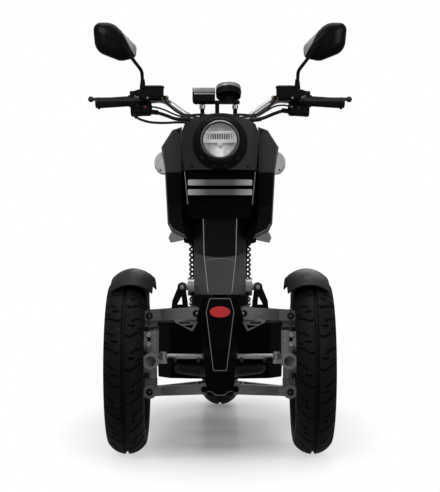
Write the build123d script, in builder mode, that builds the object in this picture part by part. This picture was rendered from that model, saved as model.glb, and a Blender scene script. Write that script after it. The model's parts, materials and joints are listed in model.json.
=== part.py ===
"""Electric reverse trike: two steered, tilting wheels in front and one driven wheel behind.

Every piece is modelled with X across (+X is the rider's left), Y running back from the front
axle and Z up from the ground. save() then moves it to the machine's own origin, which is on
the ground in the middle of its length.
"""
import os
from math import cos, radians, sin, tan

from build123d import *

os.makedirs("parts", exist_ok=True)

# ---------------------------------------------------------------- driving dimensions, mm
track = 480.0                 # between the front tyres' middles
wheelbase = 1285.0
front_tyre_r = 232.5
front_tyre_w = 98.0
rear_tyre_r = 236.5
rear_tyre_w = 120.0
seat_r = 152.0                # bead seat radius of a 12 inch rim
front_rim_w = 66.0            # between the flanges
rear_rim_w = 84.0
tail_y = 1556.0               # rearmost point, the back of the grab rail

kingpin_x = 178.0
kingpin_r = 10.0
running_fit = 0.05            # radial clearance of a shaft in its bore
seat_gap = 0.3                # between pieces that only rest on each other
spindle_r = 10.0
disc_x = 213.0                # middle of the front brake disc
disc_r = 100.0
disc_t = 4.0

arm_top_z = 361.0             # outer pivot of the upper arm
arm_low_z = 162.0             # outer pivot of the lower arm
arm_top_inner = (62.0, 368.0)
arm_low_inner = (41.0, 172.0)
eye_gap = 13.5                # half the fork's mouth at an outer pivot
eye_t = 11.0                  # thickness of one fork eye

tie_pin = (146.0, -60.0)      # X, Y of the tie rod's outer pin
relay_y = 27.0                # axis of the relay lever that moves the tie rods
relay_pin = (38.0, -55.0)     # X, Y of a tie rod's inner end
tie_z = 250.0                 # underside of the tie rod's eyes
tie_eye_h = 14.0

rake = 22.0                   # of the steering head
head = (0.0, 265.0, 850.0)    # a point on the head's axis, at the top of the head tube
stem_r = 15.0

middle_y = (tail_y - front_tyre_r) / 2
axle_z = 232.5                # the front axle in the chassis, which is moved to stand on the ground
front_axle = (track / 2, 0.0, axle_z)
rear_axle = (0.0, wheelbase, axle_z - front_tyre_r + rear_tyre_r)


# ---------------------------------------------------------------- helpers
def save(piece, label):
    """Move a finished piece to the machine's origin, label it and write it."""
    placed = piece.moved(Location((0, -middle_y, front_tyre_r - axle_z)))
    placed.label = label
    export_step(placed, f"parts/{label}.step")


def front_view(y, x=0.0, z=0.0):
    """A plane whose sketch runs in X and Z and whose extrusion goes forward."""
    return Plane(origin=(x, y, z), x_dir=(1, 0, 0), z_dir=(0, -1, 0))


def side_view(x, y=0.0, z=0.0):
    """A plane whose sketch runs in Y and Z and whose extrusion goes towards +X."""
    return Plane(origin=(x, y, z), x_dir=(0, 1, 0), z_dir=(1, 0, 0))


def on_head(along):
    """The plane square to the steering head's axis, this far up it."""
    lean = radians(rake)
    up = Vector(0, sin(lean), cos(lean))
    return Plane(origin=Vector(*head) + up * along, x_dir=(1, 0, 0), z_dir=up)


def save_pair(piece, label):
    """Write a left piece and its mirror image as two nodes."""
    save(piece, f"{label}_left")
    save(mirror(piece, about=Plane.YZ), f"{label}_right")


# ---------------------------------------------------------------- wheels
groove_w = 7.0
groove_depth = 5.0
flange_h = 9.0                # rim flange above the bead seat
flange_t = 4.0
barrel_t = 8.0
well_depth = 12.0


def make_tyre(centre, radius, width, seat_width):
    """A round-crowned tyre with a groove round its crown."""
    half = width / 2
    bead = seat_width / 2 - seat_gap
    bead_top = seat_r + flange_h + seat_gap
    shoulder = radius - 0.55 * half
    wall_mid = bead_top + 0.45 * (shoulder - bead_top)
    with BuildPart() as tyre:
        with BuildSketch(front_view(centre[1], centre[0], centre[2])):
            with BuildLine():
                ThreePointArc((-half + 1, shoulder), (0, radius), (half - 1, shoulder))
                ThreePointArc((half - 1, shoulder), (half - 0.5, wall_mid), (bead, bead_top))
                Polyline((bead, bead_top), (bead, seat_r), (-bead, seat_r), (-bead, bead_top))
                ThreePointArc((-bead, bead_top), (0.5 - half, wall_mid), (1 - half, shoulder))
            make_face()
        revolve(axis=Axis(centre, (1, 0, 0)))
        with BuildSketch(front_view(centre[1], centre[0], centre[2])):
            with Locations((0, radius)):
                Rectangle(groove_w, 2 * groove_depth)
        revolve(axis=Axis(centre, (1, 0, 0)), mode=Mode.SUBTRACT)
    return tyre.part


def rim_outline(width):
    """Half of the rim's barrel section as (across, radius) points; the other half mirrors it."""
    half = width / 2
    return [(0, seat_r - well_depth), (half * 0.42, seat_r - well_depth), (half * 0.62, seat_r - seat_gap),
            (half, seat_r - seat_gap), (half + 1, seat_r + flange_h), (half + flange_t, seat_r + flange_h),
            (half + flange_t, seat_r - barrel_t), (half * 0.7, seat_r - well_depth - barrel_t / 2),
            (0, seat_r - well_depth - barrel_t)]


def make_rim(centre, width, hub, count, spoke, bore_r, disc):
    """A cast rim with this count of spokes. hub is (radius, from, to) and spoke (root, tip, from, thickness, inner
    radius), measured along X from the wheel's middle; disc is (from, radius) of its brake disc."""
    x, y, z = centre
    hub_r, hub_from, hub_to = hub
    root, tip, spoke_from, spoke_t, spoke_in = spoke
    disc_from, brake_r = disc
    half = rim_outline(width)
    ring = [(-a, r) for a, r in reversed(half[1:-1])]
    spoke_out = seat_r - well_depth - barrel_t / 2
    with BuildPart() as rim:
        with BuildSketch(front_view(y, x, z)):
            with BuildLine():
                Polyline(half + ring, close=True)
            make_face()
        revolve(axis=Axis(centre, (1, 0, 0)))
        with BuildSketch(side_view(x + hub_from, y, z)):
            Circle(hub_r)
        extrude(amount=hub_to - hub_from)
        with BuildSketch(side_view(x + spoke_from, y, z)):
            with PolarLocations(0, count, start_angle=90):
                with BuildLine():
                    Polyline([(spoke_in, -root), (spoke_out, -tip), (spoke_out, tip), (spoke_in, root)],
                             close=True)
                make_face()
        extrude(amount=spoke_t)
        with BuildSketch(side_view(x + disc_from, y, z)):
            Circle(brake_r)
            with PolarLocations(brake_r * 0.56, 6):
                Circle(brake_r * 0.14, mode=Mode.SUBTRACT)
        extrude(amount=disc_t)
        with BuildSketch(side_view(x + disc_from, y, z)):
            Circle(brake_r * 0.3)
        extrude(amount=-disc_from)
        with BuildSketch(side_view(x - width, y, z)):
            Circle(bore_r)
        extrude(amount=2 * width, mode=Mode.SUBTRACT)
    return rim.part


front_hub = (30.0, -30.0, 24.0)
front_spoke = (15.0, 9.0, -4.0, 20.0, 20.0)
front_disc = (disc_x - disc_t / 2 - track / 2, disc_r)
rear_hub = (112.0, -34.0, 34.0)
rear_spoke = (10.0, 8.0, -10.0, 20.0, 100.0)
rear_disc = (-52.0, 95.0)
rear_axle_r = 9.0

front_tyre = make_tyre(front_axle, front_tyre_r, front_tyre_w, front_rim_w)
save_pair(front_tyre, "tyre")
front_rim = make_rim(front_axle, front_rim_w, front_hub, 5, front_spoke, spindle_r + running_fit, front_disc)
save_pair(front_rim, "rim")
rear_tyre = make_tyre(rear_axle, rear_tyre_r, rear_tyre_w, rear_rim_w)
save(rear_tyre, "tyre_rear")
rear_rim = make_rim(rear_axle, rear_rim_w, rear_hub, 10, rear_spoke, rear_axle_r + running_fit, rear_disc)
save(rear_rim, "rim_rear")

# ---------------------------------------------------------------- front suspension
eye_top_r = 15.0
eye_low_r = 18.0
pivot_r = 8.0                 # pivot bolts of the arms
tongue_half = eye_gap - 0.5
arm_out_half = eye_gap + eye_t
arm_in_half = 58.0            # half the arm's spread at its inner pivots
inner_eye_r = 15.0
inner_eye_t = 20.0


def make_arm(inner, outer_z, outer_r, outer_x, depth):
    """One wishbone for the left side: a fork at its outer end and two eyes at its inner end.

    inner is the inner pivot's (X, Z); depth is the blade's height at both ends, (inner, outer)."""
    in_x, in_z = inner
    with BuildPart() as arm:
        with BuildSketch(front_view(arm_in_half)):
            with BuildLine():
                Polyline([(in_x, in_z - depth[0] / 2), (outer_x, outer_z - depth[1] / 2),
                          (outer_x, outer_z + depth[1] / 2), (in_x, in_z + depth[0] / 2)], close=True)
            make_face()
            with Locations((in_x, in_z)):
                Circle(inner_eye_r)
            with Locations((outer_x, outer_z)):
                Circle(outer_r)
        extrude(amount=2 * arm_in_half)
        # the plan shape: slim at the fork, spread at the inner eyes
        with BuildSketch(Plane.XY.offset(outer_z - 80)):
            with BuildLine():
                Polyline([(in_x - inner_eye_r, -arm_in_half), (in_x + inner_eye_r, -arm_in_half),
                          (outer_x - 30, -arm_out_half), (outer_x + outer_r, -arm_out_half),
                          (outer_x + outer_r, arm_out_half), (outer_x - 30, arm_out_half),
                          (in_x + inner_eye_r, arm_in_half), (in_x - inner_eye_r, arm_in_half)],
                         close=True)
            make_face()
        extrude(amount=160, mode=Mode.INTERSECT)
        # the open middle between the two legs, the fork's mouth and the inner gap
        with BuildSketch(Plane.XY.offset(outer_z - 80)):
            with BuildLine():
                Polyline([(in_x + inner_eye_r + 6, -arm_in_half + inner_eye_t + 4), (outer_x - 52, -7),
                          (outer_x - 52, 7), (in_x + inner_eye_r + 6, arm_in_half - inner_eye_t - 4)],
                         close=True)
            make_face()
            with Locations((outer_x + 4, 0)):
                Rectangle(2 * outer_r + 14, 2 * eye_gap)
            with Locations((in_x - 6, 0)):
                Rectangle(2 * inner_eye_r + 14, 2 * (arm_in_half - inner_eye_t))
        extrude(amount=160, mode=Mode.SUBTRACT)
        with BuildSketch(front_view(arm_in_half + 1)):
            with Locations((in_x, in_z), (outer_x, outer_z)):
                Circle(pivot_r)
        extrude(amount=2 * arm_in_half + 2, mode=Mode.SUBTRACT)
    return arm


upper_arm_x = 184.0
lower_arm_x = 183.0
arm = make_arm(arm_top_inner, arm_top_z, eye_top_r, upper_arm_x, (32.0, 28.0))
# the cast lug under the upper arm's front leg, with a slot and a three-cornered window
lug_y = -arm_in_half + inner_eye_t
lug = [(119.0, 352.0), (116.0, 344.0), (71.0, 321.0), (59.0, 342.0), (62.0, 356.0)]
lug_window = [(98.0, 335.0), (73.0, 328.0), (67.0, 339.0)]
with BuildPart() as upper_arms:
    add(arm.part)
    with BuildSketch(front_view(lug_y)):
        with BuildLine():
            Polyline(lug, close=True)
        make_face()
        with BuildLine():
            Polyline(lug_window, close=True)
        make_face(mode=Mode.SUBTRACT)
        with Locations((92, 343)):
            SlotOverall(30, 6, mode=Mode.SUBTRACT)
    extrude(amount=12)
    mirror(about=Plane.YZ)
save(upper_arms.part, "upper_arms")

arm = make_arm(arm_low_inner, arm_low_z, eye_low_r, lower_arm_x, (26.0, 24.0))
with BuildPart() as lower_arms:
    add(arm.part)
    mirror(about=Plane.YZ)
save(lower_arms.part, "lower_arms")

# the towers on the upper arms and the damper that lies across between them
damper_z = 435.0
tower_x = 99.0
tower_in = 28.0               # half the gap between a tower's cheeks
tower_t = 8.0
tower_pin_r = 6.0


def arm_top_at(x):
    """Height of the upper arm's top face at this distance from the middle."""
    (in_x, in_z), rise = arm_top_inner, 14.0 - 16.0 + arm_top_z - arm_top_inner[1]
    return in_z + 16.0 + rise * (x - in_x) / (upper_arm_x - in_x)


with BuildPart() as damper_towers:
    for cheek_y in (-tower_in, tower_in + tower_t):
        with BuildSketch(front_view(cheek_y)):
            with BuildLine():
                Polyline([(84, arm_top_at(84)), (86, 400), (tower_x - 7, damper_z + 8),
                          (tower_x + 7, damper_z + 8), (124, 400), (126, arm_top_at(126))], close=True)
            make_face()
            with Locations((tower_x, damper_z)):
                Circle(11)
            with BuildLine():
                Polyline([(97, 388), (100, 412), (113, 388)], close=True)
            make_face(mode=Mode.SUBTRACT)
        extrude(amount=tower_t)
    with BuildSketch(front_view(tower_in + tower_t + 5, tower_x, damper_z)):
        Circle(tower_pin_r)
    extrude(amount=2 * (tower_in + tower_t + 5))
    mirror(about=Plane.YZ)
save(damper_towers.part, "damper_towers")

damper_body_r = 23.0
damper_half = 84.0
damper_eye_half = 20.0
with BuildPart() as tilt_damper:
    with BuildSketch(front_view(0, 0, damper_z)):
        with BuildLine():
            Polyline([(0, 0), (tower_x, 0), (tower_x, 9), (damper_half, 9), (damper_half, damper_body_r),
                      (58, damper_body_r), (58, 17), (0, 17)], close=True)
        make_face()
    revolve(axis=Axis((0, 0, damper_z), (1, 0, 0)))
    with BuildSketch(front_view(damper_eye_half, tower_x, damper_z)):
        Circle(12)
    extrude(amount=2 * damper_eye_half)
    mirror(about=Plane.YZ)
    with BuildSketch(front_view(damper_eye_half, 0, damper_z)):
        with Locations((-tower_x, 0), (tower_x, 0)):
            Circle(tower_pin_r + running_fit)
    extrude(amount=2 * damper_eye_half, mode=Mode.SUBTRACT)
save(tilt_damper.part, "tilt_damper")

# the uprights: a kingpin between a lower and an upper tongue, on bolts in the arms' forks
upright_low = (178.0, 196.0)  # Z from, to of the lower block
upright_top = (331.0, 347.0)
pin_fit_r = pivot_r - running_fit
with BuildPart() as uprights:
    for (block_from, block_to), tongue, tongue_x, tongue_r in (
            (upright_low, arm_low_z, lower_arm_x, 13.0), (upright_top, arm_top_z, upper_arm_x, 11.0)):
        with BuildSketch(front_view(tongue_half)):
            with BuildLine():
                Polyline([(kingpin_x - 14, block_from), (kingpin_x - 14, block_to),
                          (kingpin_x + 18, block_to), (kingpin_x + 18, block_from)], close=True)
            make_face()
            with BuildLine():
                near = block_from if tongue < block_from else block_to
                Polyline([(tongue_x - tongue_r, tongue), (tongue_x + tongue_r, tongue),
                          (tongue_x + tongue_r, near), (tongue_x - tongue_r, near)], close=True)
            make_face()
            with Locations((tongue_x, tongue)):
                Circle(tongue_r)
        extrude(amount=2 * tongue_half)
        with BuildSketch(front_view(arm_out_half, tongue_x, tongue)):
            Circle(pin_fit_r)
        extrude(amount=2 * arm_out_half)
    with BuildSketch(Plane.XY.offset(upright_low[1])):
        with Locations((kingpin_x, 0)):
            Circle(kingpin_r)
    extrude(amount=upright_top[0] - upright_low[1])
    mirror(about=Plane.YZ)
save(uprights.part, "uprights")

# ---------------------------------------------------------------- knuckles
guard_gap = 19.0              # from the tyre's crown to the top of its mudguard
guard_r = front_tyre_r + guard_gap
guard_t = 3.5
guard_shift = 13.0            # from the tyre's middle towards the machine's middle
guard_edges = ((-56.0, 26.0), (-30.0, 7.0), (30.0, 8.0), (53.0, 25.5))  # across, drop from the crown


def guard_arcs(depth):
    """The two arcs of a mudguard's section, this far under its outer face."""
    (out_x, out_drop), (out_mid_x, out_mid), (in_mid_x, in_mid), (in_x, in_drop) = guard_edges
    top = guard_r - depth
    return (ThreePointArc((out_x + depth / 2, top - out_drop), (out_mid_x, top - out_mid), (0, top)),
            ThreePointArc((0, top), (in_mid_x, top - in_mid), (in_x - depth, top - in_drop)))


sleeve_low_r = 13.5
sleeve_r = 18.0
sleeve_step_z = 229.0
stub_r = 24.0
stub_end_x = 209.0
spindle_nut = (264.6, 275.0)
ring_z = 245.0
ring_y = (-72.0, -48.0)
ring_r = 21.0
ring_hole_r = 13.0
tie_pin_r = 5.0
caliper_from_x, caliper_to_x = 198.0, 228.0
caliper_angle = 131.5         # from straight back, seen from the left
caliper_span = 38.0
caliper_r = (66.0, 120.0)
stay_x = 180.5
stay_t = 4.0
stay_top_r = guard_r - guard_t - 16.5  # where the stay meets the mudguard's inner side


def axle_point(radius, angle):
    """Y and Z of a point round the front axle, the angle counted up from straight back."""
    return (radius * cos(radians(angle)), axle_z + radius * sin(radians(angle)))


with BuildPart() as knuckle:
    with BuildSketch(Plane.XY.offset(upright_low[1] + seat_gap)):
        with Locations((kingpin_x, 0)):
            Circle(sleeve_low_r)
    extrude(amount=sleeve_step_z - upright_low[1])
    with BuildSketch(Plane.XY.offset(sleeve_step_z)):
        with Locations((kingpin_x, 0)):
            Circle(sleeve_r)
    extrude(amount=upright_top[0] - seat_gap - sleeve_step_z)
    with BuildSketch(side_view(kingpin_x, 0, axle_z)):
        Circle(stub_r)
    extrude(amount=stub_end_x - kingpin_x)
    with BuildSketch(side_view(stub_end_x, 0, axle_z)):
        Circle(spindle_r)
    extrude(amount=spindle_nut[1] - stub_end_x + 4)
    with BuildSketch(side_view(spindle_nut[0], 0, axle_z)):
        RegularPolygon(15, 6)
    extrude(amount=spindle_nut[1] - spindle_nut[0])
    # steering arm with its round boss and the ear under the tie rod
    with BuildSketch(Plane.XY.offset(ring_z - 9)):
        with Locations((kingpin_x, ring_y[1] / 2)):
            Rectangle(16, -ring_y[1])
    extrude(amount=18)
    with BuildSketch(front_view(ring_y[1], kingpin_x, ring_z)):
        Circle(ring_r)
    extrude(amount=ring_y[1] - ring_y[0])
    with BuildSketch(Plane.XY.offset(tie_z - 11)):
        with Locations(tie_pin):
            Circle(11)
        with Locations(((tie_pin[0] + kingpin_x - 16) / 2, tie_pin[1])):
            Rectangle(kingpin_x - 16 - tie_pin[0], 22)
    extrude(amount=11 - seat_gap)
    with BuildSketch(front_view(ring_y[0] + 16, kingpin_x, ring_z)):
        Circle(ring_hole_r)
    extrude(amount=20, mode=Mode.SUBTRACT)
    with BuildSketch(Plane.XY.offset(tie_z - 6)):
        with Locations(tie_pin):
            Circle(tie_pin_r)
    extrude(amount=tie_eye_h + 8)
    with BuildSketch(Plane.XY.offset(tie_z + tie_eye_h + seat_gap)):
        with Locations(tie_pin):
            Circle(8)
    extrude(amount=4)
    # caliper on its bracket, with the slot for the disc
    with BuildSketch(side_view(caliper_from_x)):
        with BuildLine():
            first, last = caliper_angle - caliper_span / 2, caliper_angle + caliper_span / 2
            outer = ThreePointArc(*(axle_point(caliper_r[1], a) for a in (first, caliper_angle, last)))
            inner = ThreePointArc(*(axle_point(caliper_r[0], a) for a in (first, caliper_angle, last)))
            Line(outer @ 0, inner @ 0)
            Line(outer @ 1, inner @ 1)
        make_face()
    extrude(amount=caliper_to_x - caliper_from_x)
    with BuildSketch(side_view(disc_x - disc_t / 2 - 1.5, 0, axle_z)):
        Circle(disc_r + 4)
        Circle(stub_r, mode=Mode.SUBTRACT)
    extrude(amount=disc_t + 3, mode=Mode.SUBTRACT)
    with BuildSketch(side_view(kingpin_x + 8)):
        with BuildLine():
            Polyline([(8, 262), (8, 316), (-48, 330), (-78, 322), (-82, 284), (-48, 268)], close=True)
        make_face()
    extrude(amount=caliper_from_x - kingpin_x - 8)
    for bolt_angle in (first + 8, last - 8):
        with BuildSketch(side_view(kingpin_x + 4)):
            with Locations(axle_point(92, bolt_angle)):
                Circle(6.5)
        extrude(amount=6)
    # stay that carries the mudguard
    with BuildSketch(side_view(stay_x)):
        with BuildLine():
            Polyline([(-44, 300), (-44, 328), (-72, 380), axle_point(stay_top_r, 111),
                      axle_point(stay_top_r, 119), (-92, 380), (-78, 318), (-78, 300)], close=True)
        make_face()
    extrude(amount=stay_t)
    with BuildSketch(side_view(stay_x)):
        with Locations((-62, 311)):
            Rectangle(28, 20)
    extrude(amount=kingpin_x + 10 - stay_x)
    with BuildSketch(Plane.XY.offset(upright_low[1])):
        with Locations((kingpin_x, 0)):
            Circle(kingpin_r + running_fit)
    extrude(amount=upright_top[0] - upright_low[1], mode=Mode.SUBTRACT)
save_pair(knuckle.part, "knuckle")

# ---------------------------------------------------------------- front mudguards
guard_from, guard_to = 60.0, 123.0


def round_axle(centre, angle):
    """A plane through a wheel's axis: X across, radius up, at this angle from straight back."""
    turn = radians(angle)
    return Plane(origin=centre, x_dir=(1, 0, 0), z_dir=(0, -sin(turn), cos(turn)))


with BuildPart() as mudguard:
    with BuildSketch(round_axle((front_axle[0] - guard_shift, *front_axle[1:]), guard_from)):
        with BuildLine():
            outer, inner = guard_arcs(0)
            under_outer, under_inner = guard_arcs(guard_t)
            Line(outer @ 0, under_outer @ 0)
            Line(inner @ 1, under_inner @ 1)
        make_face()
    revolve(axis=Axis(front_axle, (1, 0, 0)), revolution_arc=guard_to - guard_from)
    add(knuckle.part, mode=Mode.SUBTRACT)
save_pair(mudguard.part, "mudguard")

# ---------------------------------------------------------------- tie rods and their relay lever
tie_rod_r = 6.75
tie_end_z = tie_z + tie_eye_h / 2
with BuildPart() as tie_rod:
    reach = Vector(tie_pin[0] - relay_pin[0], tie_pin[1] - relay_pin[1], 0)
    along = Plane(origin=(relay_pin[0], relay_pin[1], tie_end_z), x_dir=(0, 0, 1), z_dir=reach)
    with BuildSketch(along.offset(7)):
        Circle(tie_rod_r)
    extrude(amount=reach.length - 14)
    with BuildSketch(along.offset(reach.length - 26)):
        Circle(tie_eye_h / 2 - seat_gap)
    extrude(amount=18)
    with BuildSketch(Plane.XY.offset(tie_z)):
        with Locations(tie_pin, relay_pin):
            Circle(10.5)
    extrude(amount=tie_eye_h)
    with BuildSketch(Plane.XY.offset(tie_z + tie_eye_h)):
        with Locations(relay_pin):
            Circle(6.5)
    extrude(amount=6)
    with BuildSketch(Plane.XY.offset(tie_z)):
        with Locations(tie_pin):
            Circle(tie_pin_r + running_fit)
    extrude(amount=tie_eye_h, mode=Mode.SUBTRACT)
save_pair(tie_rod.part, "tie_rod")

relay_t = 9.0
relay_boss = (256.0, 296.0)
relay_shaft_r = 10.0
relay_top = tie_z - 0.5
with BuildPart() as relay_lever:
    with BuildSketch(Plane.XY.offset(relay_top - relay_t)):
        with Locations((0, relay_y)):
            Circle(16)
        with Locations(relay_pin, (-relay_pin[0], relay_pin[1])):
            Circle(11)
        with BuildLine():
            Polyline([(-14, relay_y), (-relay_pin[0] - 9, relay_pin[1] + 6), (-relay_pin[0], relay_pin[1] - 11),
                      (relay_pin[0], relay_pin[1] - 11), (relay_pin[0] + 9, relay_pin[1] + 6),
                      (14, relay_y)], close=True)
        make_face()
    extrude(amount=relay_t)
    with BuildSketch(Plane.XY.offset(relay_top - relay_t)):
        with Locations((0, relay_y)):
            Circle(relay_shaft_r)
    extrude(amount=relay_boss[1] + 8 - relay_top + relay_t)
    with BuildSketch(Plane.XY.offset(relay_boss[1] + seat_gap)):
        with Locations((0, relay_y)):
            Circle(14)
    extrude(amount=6)
save(relay_lever.part, "relay_lever")

# ---------------------------------------------------------------- frame
neck_seat_y = 108.6           # where the neck cover rests on its bracket
grille_y = 118.0
grille_t = 6.0
lamp_back_y = 176.0
wing_in_x = 106.0
shock_x = 87.0
shock_top = (1130.0, 628.0)
shock_low = (1232.0, 300.0)
shock_pin_r = 6.0
shock_eye_half = 10.0
shock_spring_r = 17.0
hanger_x = 66.0               # inner face of a shock's upper hanger
lug_half = arm_in_half - inner_eye_t - 0.5
front_box_back = 75.0
spine_r = 24.0
spine_foot_z = 391.0
rail_r = 14.0
rail_z = 190.0
seat_rail_r = 12.0
seat_z = 745.0                # underside of the seat
seat_rail_z = seat_z - 33
tail_cross_y = 1436.0         # rear cross tube, which carries the tail
head_tube = (-190.0, -32.0)   # along the head's axis
head_tube_r = 26.0
swing_pivot = (905.0, 250.0)
swing_pin_r = 8.0
pivot_plate_x = 92.0
rail_path = [(16, 79, rail_z), (30, 262, rail_z), (120, 410, rail_z), (120, 800, rail_z),
             (74, 880, 340), (74, 890, 500), (85, 905, 690), (85, 960, seat_rail_z),
             (85, 1440, seat_rail_z)]

with BuildPart() as front_frame:
    for half_x, z, boss_x in ((30.0, arm_top_inner[1], arm_top_inner[0]),
                              (24.0, arm_low_inner[1], arm_low_inner[0])):
        with BuildSketch(front_view(lug_half)):
            with Locations((0, z)):
                Rectangle(2 * boss_x, 2 * inner_eye_r)
            with Locations((-boss_x, z), (boss_x, z)):
                Circle(inner_eye_r)
        extrude(amount=2 * lug_half)
        with BuildSketch(front_view(front_box_back)):
            with Locations((0, z)):
                Rectangle(2 * half_x, 2 * inner_eye_r)
        extrude(amount=front_box_back)
        with BuildSketch(front_view(arm_in_half + 4)):
            with Locations((-boss_x, z), (boss_x, z)):
                Circle(pin_fit_r)
        extrude(amount=2 * (arm_in_half + 4))
    with BuildSketch(side_view(-22)):
        with BuildLine():
            Polyline([(48, arm_low_inner[1]), (front_box_back, arm_low_inner[1]),
                      (front_box_back, arm_top_inner[1]), (48, arm_top_inner[1])], close=True)
        make_face()
    extrude(amount=44)
    with BuildSketch(Plane.XY.offset(relay_boss[0])):
        with Locations((0, relay_y)):
            Circle(17)
        with Locations((0, relay_y + 15)):
            Rectangle(24, 30)
    extrude(amount=relay_boss[1] - relay_boss[0])
    with BuildSketch(Plane.XY.offset(relay_boss[0])):
        with Locations((0, relay_y)):
            Circle(relay_shaft_r + running_fit)
    extrude(amount=relay_boss[1] - relay_boss[0], mode=Mode.SUBTRACT)
save(front_frame.part, "front_frame")


def tube(points, radii, radius):
    """A round tube swept along straight runs joined by arcs of the given radii."""
    with BuildPart() as run:
        with BuildLine() as path:
            FilletPolyline(*points, radius=radii)
        with BuildSketch(Plane(origin=path.line @ 0, z_dir=path.line % 0)):
            Circle(radius)
        sweep()
    return run.part


def rod(start, end, radius):
    """A straight round bar from one point to another."""
    run = Vector(*end) - Vector(*start)
    with BuildPart() as bar_piece:
        with BuildSketch(Plane(origin=start, z_dir=run)):
            Circle(radius)
        extrude(amount=run.length)
    return bar_piece.part


rail = tube(rail_path, [120, 90, 90, 70, 60, 80, 60], rail_r)
spine_top = on_head(-110).origin
with BuildPart() as main_frame:
    # spine from the front box up to the head tube
    with BuildSketch(Plane.XY.offset(arm_top_inner[1] + inner_eye_r)):
        with Locations((0, 48)):
            Rectangle(56, 50)
    extrude(amount=8)
    spine = Vector(0, spine_top.Y - 48, spine_top.Z - spine_foot_z + 6)
    with BuildSketch(Plane(origin=(0, 48, spine_foot_z - 6), x_dir=(1, 0, 0), z_dir=spine)):
        Circle(spine_r)
    extrude(amount=spine.length)
    with BuildSketch(Plane.XY.offset(arm_top_inner[1] + inner_eye_r)):
        with Locations((0, 48)):
            Rectangle(100, 100)
    extrude(amount=-40, mode=Mode.SUBTRACT)
    with BuildSketch(on_head(head_tube[0])):
        Circle(head_tube_r)
    extrude(amount=head_tube[1] - head_tube[0])
    # down tube from the spine to the floor's first cross tube
    down = Vector(0, 420 - 150, rail_z - 590)
    with BuildSketch(Plane(origin=(0, 150, 590), x_dir=(1, 0, 0), z_dir=down)):
        Circle(16)
    extrude(amount=down.length)
    # brackets for the neck cover, the grille, the headlamp and the side wings
    for half, y_from, y_to, z_from, z_to in ((15, neck_seat_y, 150, 590, 606), (20, grille_y + grille_t, 185, 680, 700),
                                             (25, lamp_back_y, 215, 785, 812)):
        with BuildSketch(front_view(y_to)):
            with Locations((0, (z_from + z_to) / 2)):
                Rectangle(2 * half, z_to - z_from)
        extrude(amount=y_to - y_from - seat_gap)
    with BuildSketch(side_view(seat_gap - wing_in_x, 224, 748)):
        Circle(9)
    extrude(amount=2 * (wing_in_x - seat_gap))
    # rails under the floor and up to the seat, with their cross tubes
    add(rail)
    with BuildSketch(Plane.XZ.offset(-front_box_back)):
        with Locations((0, rail_z + 7)):
            Rectangle(60, 30)
    extrude(amount=-6)
    mirror(about=Plane.YZ)
    for cross_y, cross_z, half in ((420, rail_z, 118), (790, rail_z, 118), (885, 420, 72), (1000, seat_rail_z, 84),
                                   (tail_cross_y, seat_rail_z, 84)):
        with BuildSketch(side_view(-half, cross_y, cross_z)):
            Circle(seat_rail_r)
        extrude(amount=2 * half)
    # plates for the swingarm's pivot
    for plate_x in (-pivot_plate_x - 8, pivot_plate_x):
        with BuildSketch(side_view(plate_x)):
            with BuildLine():
                Polyline([(862, 268), (swing_pivot[0] - 4, swing_pivot[1] - 24), (swing_pivot[0] + 24, swing_pivot[1]),
                          (swing_pivot[0], swing_pivot[1] + 24), (874, 332)], close=True)
            make_face()
        extrude(amount=8)
    with BuildSketch(side_view(-pivot_plate_x - 8, *swing_pivot)):
        Circle(swing_pin_r)
    extrude(amount=2 * pivot_plate_x + 16)
    # hangers for the rear shocks
    for side in (-1, 1):
        with BuildSketch(side_view(side * hanger_x)):
            with BuildLine():
                Polyline([(shock_top[0] - 40, seat_rail_z), (shock_top[0] - 14, shock_top[1] - 6),
                          (shock_top[0] + 14, shock_top[1] - 6), (shock_top[0] + 40, seat_rail_z)], close=True)
            make_face()
            with Locations(shock_top):
                Circle(15)
        extrude(amount=side * 8)
        with BuildSketch(side_view(side * hanger_x, *shock_top)):
            Circle(shock_pin_r)
        extrude(amount=side * (shock_x + shock_eye_half + 4 - hanger_x))
    with BuildSketch(on_head(head_tube[0] - 60)):
        Circle(stem_r + running_fit)
    extrude(amount=400, mode=Mode.SUBTRACT)
save(main_frame.part, "main_frame")

# ---------------------------------------------------------------- steering
bar_r = 11.0
bar_end = Vector(352, 362, 957)
bar_bend = Vector(160, 346, 968)
bar_foot = Vector(62, 312, 895)
bar_run = (bar_bend - bar_end).normalized()
clamp_half = 30.0


def flip(point):
    """The mirror image of a point, across the machine's middle."""
    return Vector(-point.X, point.Y, point.Z)


bar = tube([bar_end, bar_bend, bar_foot, flip(bar_foot), flip(bar_bend), flip(bar_end)],
           [50, 40, 40, 50], bar_r)
bar.label = "handlebar"
save(bar, "handlebar")

with BuildPart() as steering_stem:
    with BuildSketch(on_head(head_tube[0] + 20)):
        Circle(stem_r)
    extrude(amount=head_tube[1] - head_tube[0])
    with BuildSketch(on_head(head_tube[1] + seat_gap)):
        Circle(24)
        with Locations((0, -26)):
            Rectangle(72, 22)
        with Locations((0, -12)):
            Rectangle(30, 30)
    extrude(amount=14)
    with BuildSketch(on_head(head_tube[1] + 14)):
        Circle(20)
    extrude(amount=60)
    # clamp block round the bar's middle, with a leg to each side for the instruments
    with BuildSketch(side_view(-clamp_half)):
        with BuildLine():
            Polyline([(262, 862), (296, 858), (334, 880), (334, 914), (296, 918), (262, 890)], close=True)
        make_face()
    extrude(amount=2 * clamp_half)
    with BuildSketch(Plane.XY.offset(910)):
        with Locations((-4, 300)):
            Rectangle(108, 22)
    extrude(amount=6)
    with BuildSketch(Plane.XY.offset(914)):
        with Locations((-50, 300), (-8, 300), (43, 300)):
            Circle(6)
    extrude(amount=34)
    add(bar, mode=Mode.SUBTRACT)
save(steering_stem.part, "steering_stem")

grip_len = 95.0
grip_r = 14.5


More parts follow.
